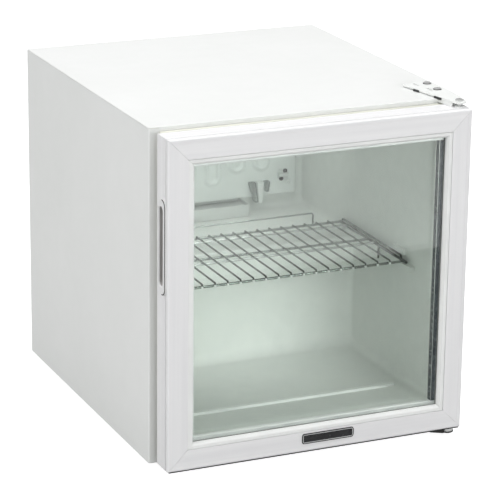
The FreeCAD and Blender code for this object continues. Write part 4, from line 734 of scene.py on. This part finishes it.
wires = []
tip_highlights = []
for x in WIRE_X:
    wire = [(x, REAR_Y + WIRE_RADIUS, WIRE_Z), (x, WIRE_FRONT, WIRE_Z), (x, WIRE_FRONT, WIRE_Z - 3.4)]
    wires.append(tube(wire, WIRE_RADIUS, 2.0))
    # Painted highlights: white tips on the bent-down wire ends stand in for glints on the chrome
    tip_highlights.append(tube([(x, WIRE_FRONT, WIRE_Z - 2.2), (x, WIRE_FRONT, FRONT_BAR_Z - 1)], 1.4))
for x in (-RAIL_X, RAIL_X):
    wires.append(tube([(x, FRONT_BAR_Y - 12.5, BAR_Z), (x, REAR_Y + 2.75, BAR_Z)], 2.0))
    rail = bow((x, RAIL_ENDS[0]), (x, RAIL_ENDS[1]), BAR_Z, RAIL_Z)
    wires.append(tube(rail, RAIL_RADIUS, RAIL_RADIUS * 1.5))
    wires.append(tube([(x, LEG_Y, LEG_LOW), (x, LEG_Y, BAR_Z)], RAIL_RADIUS))
piece("shelf_wires", joined(*wires), "wire_shelf")
# Painted reflections: the stop and three bars take the grey copy, two bars the bright polished one
stop_line = bow((-STOP_X, REAR_Y), (STOP_X, REAR_Y), BAR_Z, STOP_Z)
grey_bars = [cross_bar(REAR_Y, BAR_Z), cross_bar(-21.8, BAR_Z), cross_bar(FRONT_BAR_Y, FRONT_BAR_Z)]
piece("shelf_stop", joined(tube(stop_line, 1.2, 3), *grey_bars), "wire_shelf", look="wire_reflection_grey")
piece("shelf_bars", joined(*(cross_bar(y, BAR_Z) for y in (47.2, -39.8))), "wire_shelf", look="polished")
piece("wire_tip_highlights", joined(*tip_highlights), "wire_shelf", look="highlight_white")

# Evaporator plate: a sheet with rolled sides and one channel pressed out of it
low, high = span("evaporator_plate")
PLATE_Y = 199.0
ROLL = 10.0
RUNS = 14
LONG_RUNS = 10
PITCH = 19.0
SHIFT = 5.4
CHANNEL_LOW = 241.0
SHORT_LOW = 256.5
CHANNEL_HIGH = 384.0
CHANNEL_HALF = 5.4
RISE = 2.6
GRID = 1.4
FAR_AWAY = 1e6


def channel_distance(x, z):
    """Distance in the plate from the middle of the channel."""
    away = np.full(x.shape, FAR_AWAY)
    for run in range(RUNS):
        run_x = (run - (RUNS - 1) / 2) * PITCH + SHIFT
        run_low = CHANNEL_LOW if run < LONG_RUNS else SHORT_LOW
        beyond = np.maximum(np.maximum(run_low + PITCH / 2 - z, z - CHANNEL_HIGH + PITCH / 2), 0)
        away = np.minimum(away, np.hypot(x - run_x, beyond))
        if run == RUNS - 1:
            continue
        turn_x = run_x + PITCH / 2
        upper = run % 2 == 1
        turn_z = CHANNEL_HIGH - PITCH / 2 if upper else run_low + PITCH / 2
        arc = np.abs(np.hypot(x - turn_x, z - turn_z) - PITCH / 2)
        away = np.where((z > turn_z) if upper else (z < turn_z), np.minimum(away, arc), away)
    return away


flat_x = np.linspace(low.x + ROLL, high.x - ROLL, int((high.x - low.x) / GRID))
roll_turn = np.linspace(0, math.pi / 2, 9)[1:]
roll_x = np.append(ROLL * np.sin(roll_turn), ROLL)
roll_y = np.append(ROLL * (1 - np.cos(roll_turn)), high.y - PLATE_Y)
across_x = np.concatenate([flat_x[0] - roll_x[::-1], flat_x, flat_x[-1] + roll_x])
across_y = PLATE_Y + np.concatenate([roll_y[::-1], np.zeros(len(flat_x)), roll_y])
across_z = np.linspace(low.z, high.z, int((high.z - low.z) / GRID))
grid_x, grid_z = np.meshgrid(across_x, across_z, indexing="ij")
near = np.minimum(channel_distance(grid_x, grid_z) / CHANNEL_HALF, 1)
grid_y = across_y[:, None] - RISE * np.cos(near * math.pi / 2) ** 2
columns, rows = grid_x.shape
plate_corners = [tuple(corner) for corner in np.stack([grid_x, grid_y, grid_z], -1).reshape(-1, 3)]
plate_faces = [[i * rows + j, (i + 1) * rows + j, (i + 1) * rows + j + 1, i * rows + j + 1]
               for i in range(columns - 1) for j in range(rows - 1)]
plate_mesh = mesh_from("cold_plate", (plate_corners, plate_faces))
if plate_mesh.polygons[len(plate_faces) // 2].normal.y > 0:
    plate_mesh.flip_normals()
thicken(piece("cold_plate", plate_mesh, "evaporator_plate", look="plate_coating"), WALL)

# Clips, clamp and tray on and under the plate
CLIPS = ([(98, 239), (108, 239), (112.5, 209), (107, 209)],
         [(110, 239), (120.5, 239), (117.5, 207.5), (112.8, 207.5)],
         [(122, 238.5), (130.5, 238.5), (128.5, 223), (123.5, 223)])
CLIP_REACH = 9
CLAMP_Y = PLATE_Y - 2
prongs = [slab("Y", rounded(outline, 1.4), PLATE_Y - CLIP_REACH, PLATE_Y, 0.8) for outline in CLIPS]
piece("clip_prongs", joined(prongs[0], prongs[2]), "bulb_clips")
piece("clip_tongue", prongs[1], "bulb_clips", look="white_plastic")
low, high = span("capillary_clamp")
clamp_pad = block((low.x, CLAMP_Y, low.z), (high.x, PLATE_Y, high.z), 2.0, 0.5, "Y")
clamp_arch = tube([(x, CLAMP_Y, (low.z + high.z) / 2) for x in (low.x, high.x)], 3.4, sides=20)
piece("clamp", joined(clamp_pad, clamp_arch), "capillary_clamp")
clamp_places = [(low.x + 5, CLAMP_Y, low.z + 2.6), (high.x - 5, CLAMP_Y, high.z - 2.6)]
screws("clamp_fixings", "clamp_screws", clamp_places, "-Y", (3.3, 1.6), "black_paint")


def open_tray(low, high, wall, depth, corner):
    """Open tray with a rounded rim and its inside depth."""
    rim = rounded(rectangle(low.x, low.y, high.x, high.y), corner)
    bottom = high.z - depth
    steps = [(1.0, low.z), (0.2, low.z + 0.4), (0, low.z + 1.2), (0, high.z - 0.4), (wall * 0.3, high.z),
             (wall * 0.7, high.z), (wall, high.z - 0.4), (wall, bottom + 0.8), (wall + 0.8, bottom)]
    return loft([[(x, y, z) for x, y in inset(rim, move)] for move, z in steps])


PAN_WALL = 1.5
low, high = span("drip_tray")
low.z = STEP_TOP + 0.3
# Painted shade: the drip channel is drawn in a darker copy of the white moulding
piece("drip_channel", open_tray(low, high, WALL, 4.5, 3.0), "drip_tray", look="tray_shaded_white")
low, high = span("evaporation_tray")
pan = open_tray(low, high, PAN_WALL, high.z - low.z - PAN_WALL, 6.0)
piece("condensate_pan", pan, "evaporation_tray")

# Hinges, measured from their common pin line
PIN = (195.0, -240.0)
PIN_RADIUS = 3
HINGE_SCREW = (4.6, 2.4)
HOLE_HALF = (1.8, 8.0)
STRAP = 2.5
NEAR_EDGE = (Vector((-28, 101)), Vector((-9, 0)))
SHADOW_PAD_SPANS = ((0.225, 0.325), (0.64, 0.77))
WEB_SPAN = (0.70, 0.97)


def from_pin(corners):
    """Places that are measured from the pin."""
    return [(PIN[0] + x, PIN[1] + y) for x, y in corners]


def nose(radius, turn_start, turn_end, steps=10):
    """Arc round the pin, as corners measured from it."""
    turns = [math.radians(turn_start + (turn_end - turn_start) * k / steps) for k in range(steps + 1)]
    return [(radius * math.cos(turn), radius * math.sin(turn)) for turn in turns]


def slot_hole(x, y):
    return rounded(rectangle(x - HOLE_HALF[0], y - HOLE_HALF[1], x + HOLE_HALF[0], y + HOLE_HALF[1]), 1.7)


low, high = span("top_hinge_bracket")
top_rim = from_pin([(14, 44), (14, 109), (4, 116), tuple(NEAR_EDGE[0])] + nose(9, 180, 360))
top_holes = [slot_hole(x, y) for x, y in from_pin([(-12.3, 95), (-7.2, 66)])]
top_strap = plate([top_rim] + top_holes, high.z - STRAP, high.z, 0.4)
edge_run = NEAR_EDGE[1] - NEAR_EDGE[0]
edge_out = Vector((edge_run.y, -edge_run.x)).normalized()


def along_edge(parts, out, thick):
    """Strip along the strap's near edge, between two parts of its length."""
    near_side = [NEAR_EDGE[0] + edge_run * part + edge_out * out for part in parts]
    return from_pin(near_side + [corner - edge_out * thick for corner in reversed(near_side)])


# Painted shadow: black pads under the strap, pushed out past its near edge, stand in for the shadowed gap
# beneath it
top_shadow_pads = [slab("Z", along_edge(parts, 1.6, 9), low.z, high.z - 0.9, 0.1) for parts in SHADOW_PAD_SPANS]
top_web = slab("Z", along_edge(WEB_SPAN, -0.3, 1.4), DOOR_HIGH.z + 0.15, high.z - 2.2, 0.1)
piece("top_strap", joined(top_strap, top_web), "top_hinge_bracket")
piece("strap_shadow_pads", joined(*top_shadow_pads), "top_hinge_bracket", slot="black_paint")
top_places = [(x, y, high.z) for x, y in from_pin([(3.7, 94.5), (1.6, 62.4)])]
screws("top_fixings", "top_hinge_screws", top_places, "Z", HINGE_SCREW, "polished")
washer = [(0, 0), (5.4, 0), (5.6, 0.2), (5.6, 0.5), (5.2, 0.7), (0, 0.7)]
top_washers = [lathe(washer, place) for place in top_places]
piece("top_washers", joined(*top_washers), "top_hinge_screws", slot="black_paint")
low, high = span("top_hinge_pin")
top_pin = [(0, low.z), (2.4, low.z), (PIN_RADIUS, low.z + 0.8), (PIN_RADIUS, high.z - 2), (5.5, high.z - 2),
           (5.5, high.z - 0.8), (4.6, high.z), (0, high.z)]
piece("top_pivot", lathe(top_pin, (*PIN, 0)), "top_hinge_pin", look="polished")
bush = [(3.05, 0.2), (3.4, 0.2), (3.7, 0.5), (3.7, 1.4), (3.05, 1.6)]
piece("pivot_bush", lathe(bush, (*PIN, DOOR_HIGH.z)), "top_hinge_pin", slot="black_paint")

# Painted shadow: the bottom bracket is drawn near-black, with a dark wedge hung at its front, standing in
# for the shadow beside the hub
WEDGE_X = (167, 187.6)
WEDGE_LOW = (9.4, 5.0)
WEDGE_Y = (-245.6, -243.4)
low, high = span("bottom_hinge_bracket")
bottom_rim = from_pin([(14, 44), (14, 90), (-34, 90), (-34, 40), (-23, -2)] + nose(7, 235, 360))
bottom_strap = plate([bottom_rim], low.z, high.z, 0.5)
wedge_top = high.z - 0.5
wedge_outline = [(WEDGE_X[0], wedge_top), (WEDGE_X[0], WEDGE_LOW[0]), (WEDGE_X[1], WEDGE_LOW[1]), (WEDGE_X[1], wedge_top)]
hub_shadow_wedge = slab("Y", wedge_outline, *WEDGE_Y, 0.2)
piece("bottom_strap", joined(bottom_strap, hub_shadow_wedge), "bottom_hinge_bracket", look="black_rubber")
bottom_places = [(x, y, low.z) for x, y in from_pin([(-24, 80), (3, 80)])]
screws("bottom_fixings", "bottom_hinge_screws", bottom_places, "-Z", HINGE_SCREW)
low, high = span("bottom_hinge_pin")
HUB_TOP = DOOR_LOW.z - 0.4
bottom_pin = [(0, low.z + 1.6), (7.6, low.z + 1.6), (7.8, low.z + 2), (7.8, HUB_TOP - 0.6), (7.2, HUB_TOP),
              (PIN_RADIUS, HUB_TOP), (PIN_RADIUS, high.z - 0.8), (2.4, high.z), (0, high.z)]
piece("bottom_pivot", lathe(bottom_pin, (*PIN, 0)), "bottom_hinge_pin", look="polished")
hub_ring = [(0, 0), (7.2, 0), (8.3, 0.6), (8.5, 1.4), (8.3, 2.4), (0, 2.4)]
piece("pivot_ring", lathe(hub_ring, (*PIN, low.z)), "bottom_hinge_pin", slot="black_rubber")

# Feet: ribbed rubber pads
FOOT_X = 140
FOOT_Y = -165
REAR_FOOT_Y = 200
RIBS = 4
ribs = []
for k in range(RIBS):
    ribs += [(14, 2.2 + k), (13.5, 2.5 + k), (13.5, 2.9 + k)]
foot = [(0, 0), (12, 0), (13.4, 0.7)] + ribs + [(14, 6.4), (9.4, 9), (4, 9), (4, 21), (0, 21)]
for side, x in (("left", -FOOT_X), ("right", FOOT_X)):
    piece(f"levelling_foot_{side}", lathe(foot, (x, FOOT_Y, 0), sides=48), f"front_foot_{side}")
rear_foot = [(0, 0), (12, 0), (13.6, 0.8), (14, 2), (14, 10.8), (13.6, 11.6), (13, 12), (0, 12)]
rear_feet = [lathe(rear_foot, (x, REAR_FOOT_Y, 0)) for x in (-FOOT_X, FOOT_X)]
piece("rear_pads", joined(*rear_feet), "rear_feet")

# Screws of the back, the condenser and the plate
COIL_LOW = 186
COIL_PITCH = 31
COIL_TURNS = 8
BACK_FACE = 238
BRACKET_FACE = 240.5
SHEET_SCREW = (3.6, 2)
back_places = [(x, BACK_FACE, z) for x in (-206, 206) for z in (181, 307, 435)]
screws("back_fixings", "back_panel_screws", back_places, "Y", SHEET_SCREW)
bracket_levels = [COIL_LOW + COIL_PITCH * level - 13.5 for level in (1, 7)]
bracket_places = [(x, BRACKET_FACE, z) for x in (-126, 126) for z in bracket_levels]
screws("bracket_fixings", "condenser_screws", bracket_places, "Y", SHEET_SCREW)
plate_places = [(x, PLATE_Y, z) for x in (-162, 162) for z in (232, 380)]
screws("plate_fixings", "plate_screws", plate_places, "-Y", (4, 2))

# Condenser and the tubes of the cooling circuit
coil_low, coil_high = span("condenser_tube")
COIL_Y = (coil_low.y + coil_high.y) / 2
COIL_TOP = COIL_LOW + COIL_PITCH * COIL_TURNS
COIL_X = 172
COIL_END = (183, COIL_Y, COIL_TOP)
DRIER_X = -150
DRIER_Z = 67
COIL_OUT = (DRIER_X, COIL_Y, 156)
PIPE_Z = 61
PIPE_RADIUS = 2.5
route = [COIL_END]
for turn in range(COIL_TURNS):
    turn_x = -COIL_X if turn % 2 == 0 else COIL_X
    route += [(turn_x, COIL_Y, COIL_TOP - COIL_PITCH * level) for level in (turn, turn + 1)]
route += [(DRIER_X, COIL_Y, COIL_LOW), COIL_OUT]
piece("condenser_coil", tube(route, PIPE_RADIUS, 15), "condenser_tube")
FIN_RADIUS = 0.8
FIN_ENDS = (176, 444)
fins_low, fins_high = span("condenser_wires")
fins = []
for i in range(31):
    for y in (fins_low.y + FIN_RADIUS, fins_high.y - FIN_RADIUS):
        fins.append(tube([(12 * i - 180, y, end) for end in FIN_ENDS], FIN_RADIUS, sides=8))
piece("condenser_fins", joined(*fins), "condenser_wires")
TUBES = {
    "discharge_tube": ([(129, 128, PIPE_Z), (195, 128, PIPE_Z), (195, COIL_Y, PIPE_Z),
                        (195, COIL_Y, COIL_TOP), COIL_END], PIPE_RADIUS, 11),
    "liquid_tube": ([COIL_OUT, (DRIER_X, COIL_Y, DRIER_Z), (DRIER_X, 198, DRIER_Z)], PIPE_RADIUS, 20),
    "capillary_tube": ([(DRIER_X, 108, DRIER_Z), (DRIER_X, 92, DRIER_Z), (DRIER_X, 92, 166)], 1.2, 10),
    "suction_tube": ([(-9, 148, PIPE_Z), (-59, 148, PIPE_Z), (-59, 148, 166)], 3, 20),
}
for node, (line, radius, bend) in TUBES.items():
    piece(node.replace("tube", "pipe"), tube(line, radius, bend, steps=10), node)
drier = [(0, 0), (2.5, 0), (2.5, 6), (8, 16), (8, 74), (2.5, 84), (2.5, 90), (0, 90)]
piece("drier", lathe(drier, (DRIER_X, 108, DRIER_Z), "Y"), "filter_drier")

# Compressor: a domed can with a seam, on legs with rubber rings
PUMP = (60, 148)
PUMP_LOW = 25
LEG_SHEET = 22.5
LEG_HALF = (74, 54)
LEGS = [(PUMP[0] + sx * 62, PUMP[1] + sy * 42) for sx in (-1, 1) for sy in (-1, 1)]
STUBS = (([(109, 128, PIPE_Z), (129, 128, PIPE_Z)], 4), ([(-9, 148, PIPE_Z), (11, 148, PIPE_Z)], 4),
         ([(86, 188, PIPE_Z), (86, 218, PIPE_Z)], 3))
can = [(0, PUMP_LOW), (43, PUMP_LOW), (50, 26.9), (55.1, 32), (57, 39), (57, 82), (60, 83), (60, 87),
       (57, 88), (57, 110), (55, 120), (49.4, 128.4), (41, 134), (31, 136), (0, 136)]
legs_low = (PUMP[0] - LEG_HALF[0], PUMP[1] - LEG_HALF[1], LEG_SHEET)
legs_high = (PUMP[0] + LEG_HALF[0], PUMP[1] + LEG_HALF[1], PUMP_LOW)
pump_forms = [lathe(can, (*PUMP, 0), sides=64), block(legs_low, legs_high, 10, 0.5)]
pump_forms += [tube(line, radius, sides=20) for line, radius in STUBS]
piece("compressor_can", joined(*pump_forms), "compressor")
leg_ring = [(4, 13.5), (9, 13.5), (9, 16.5), (7, 18), (9, 19.5), (9, 22.5), (4, 22.5)]
piece("leg_rings", joined(*(lathe(leg_ring, (x, y, 0)) for x, y in LEGS)), "compressor_grommets")
bolt = [(0, 25), (8.4, 25), (8.4, 26), (7, 26), (7, 28.4), (6.2, 29), (0, 29)]
piece("leg_bolts", joined(*(lathe(bolt, (x, y, 0), sides=6) for x, y in LEGS)), "compressor_bolts")

# Thermostat box and its knob, with grips round its rim and a raised mark
BOX_BACK = 236
DIAL = ((1, 0.4), (15, 0.4), (15, 3), (12, 4.5), (11.4, 6), (11, 12.2), (10.2, 13), (1, 13))
DIAL_SIDES = 72
GRIP_DEPTH = 0.5
GRIP_RADII = (10.5, 12)
low, high = span("thermostat_box")
piece("control_box", block(low, high, 4, 2, "Y"), "thermostat_box")
low, high = span("thermostat_knob")
middle = ((low.x + high.x) / 2, BOX_BACK, (low.z + high.z) / 2)
dial_rings = []
for radius, height in DIAL:
    depth = GRIP_DEPTH if GRIP_RADII[0] < radius < GRIP_RADII[1] else 0
    ring = []
    for k, turn in enumerate(circle(DIAL_SIDES)):
        reach = radius - depth * (k % 4 < 2)
        corner = TURN["Y"](reach * math.cos(turn), reach * math.sin(turn), height)
        ring.append(Vector(corner) + Vector(middle))
    dial_rings.append(ring)
mark = block((middle[0] - 1.5, 248, middle[2] - 9), (middle[0] + 1.5, high.y, middle[2] + 10), 0.8, 0.4, "Y")
piece("control_knob", joined(loft(dial_rings), mark), "thermostat_knob")

# The CAD nodes that still show take the finish of their slot
for name, node in frame["nodes"].items():
    if not node.hide_render:
        node.data.materials.clear()
        node.data.materials.append(LOOKS[SLOT_OF[name]])

# Studio in metres: white floor with far walls, soft lamps, and floor cards that the glass mirrors
scene = bpy.context.scene
FLOOR_HALF = 15
FLOOR_SHADE = 0.40
FLOOR_GLOW = 0.92
WALL_HEIGHT = 12.0
WORLD_LIGHT = 0.36
WHITE = (1, 1, 1, 1)
CARDS = {
    "near_card": ([(0.0, -0.939), (-0.2, -0.36), (0.32, -0.36), (0.68, -0.991)], 0.0005, 0.05),
    "far_card": ([(0.28, -1.6), (0.0, -0.939), (0.68, -0.991), (1.0, -1.6)], 0.0005, 0.75),
    "wide_card": (rectangle(-6, -6, 6, 6), -0.004, 0.47),
}


def sheet(name, outline, height, shade, glow=0.0, walls=0.0):
    """Flat matt sheet, with walls round it where asked for; outline and heights in metres."""
    count = len(outline)
    corners = [(x, y, height) for x, y in outline]
    faces = [list(range(count))]
    if walls:
        corners += [(x, y, height + walls) for x, y in outline]
        faces += [[i, (i + 1) % count, count + (i + 1) % count, count + i] for i in range(count)]
    mesh = bpy.data.meshes.new(name)
    mesh.from_pydata(corners, [], faces)
    look = finish(name, ((shade,) * 3, (shade + 0.02,) * 3, 2), rough=(0.7, 0.8, 30), bump=(200, 0.02))
    shader = look.node_tree.nodes["Principled BSDF"]
    shader.inputs["Specular IOR Level"].default_value = 0.0
    shader.inputs["Emission Color"].default_value = WHITE
    shader.inputs["Emission Strength"].default_value = glow
    mesh.materials.append(look)
    thing = bpy.data.objects.new(name, mesh)
    scene.collection.objects.link(thing)
    return thing


floor_outline = rectangle(-FLOOR_HALF, -FLOOR_HALF, FLOOR_HALF, FLOOR_HALF)
floor = sheet("floor", floor_outline, 0.0, FLOOR_SHADE, FLOOR_GLOW, WALL_HEIGHT)
floor.visible_diffuse = False
floor.visible_glossy = False
floor.visible_shadow = False
for name, (outline, height, shade) in CARDS.items():
    card = sheet(name, outline, height, shade)
    card.visible_camera = False
    card.visible_shadow = False
    card.visible_diffuse = name == "wide_card"

scene.view_settings.view_transform = "Standard"
world = bpy.data.worlds.new("studio")
world.use_nodes = True
background = world.node_tree.nodes["Background"]
background.inputs["Color"].default_value = WHITE
background.inputs["Strength"].default_value = WORLD_LIGHT
scene.world = world


def lamp(name, place, target, wide, tall, watts):
    """Soft rectangular lamp that faces a target, in metres."""
    light = bpy.data.lights.new(name, "AREA")
    light.shape = "RECTANGLE"
    light.size = wide
    light.size_y = tall
    light.energy = watts
    holder = bpy.data.objects.new(name, light)
    holder.location = place
    holder.rotation_euler = (Vector(target) - Vector(place)).to_track_quat("-Z", "Y").to_euler()
    holder.visible_glossy = False
    scene.collection.objects.link(holder)
    return holder


lamp("top_lamp", (0, 0, 3.2), (0, 0, 0), 3.0, 3.0, 90)
lamp("front_lamp", (0.5, -3.2, 0.9), (0, 0, 0.25), 3.0, 1.2, 43)
lamp("left_lamp", (-2.9, -0.5, 2.0), (-0.2, 0, 0.25), 2.0, 1.4, 47)
lamp("right_lamp", (3.0, 0.3, 0.35), (0.2, 0, 0.25), 2.0, 1.0, 26)
inner_lamp = lamp("inner_lamp", (0.03, 0.03, 0.40), (0.0, 0.09, 0.20), 0.30, 0.12, 0.105)
low_lamp = lamp("low_lamp", (0.05, -0.19, 0.10), (0.04, 0.03, 0.07), 0.20, 0.08, 0.036)
inner_lamp.visible_glossy = True
for small_lamp, spread in ((inner_lamp, 90), (low_lamp, 65)):
    small_lamp.data.spread = math.radians(spread)
    small_lamp.visible_camera = False
    small_lamp.visible_transmission = False

# Camera at the viewing angle of the photograph, in metres and degrees
CAMERA_PLACE = (-1.2896, -2.9129, 1.2300)
CAMERA_TURNS = (72.200, -0.688, -23.913)
camera = bpy.data.cameras.new("camera")
camera.sensor_width = 36
camera.lens = 179.04
viewer = bpy.data.objects.new("camera", camera)
viewer.location = CAMERA_PLACE
viewer.rotation_euler = [math.radians(turn) for turn in CAMERA_TURNS]
scene.collection.objects.link(viewer)
scene.camera = viewer
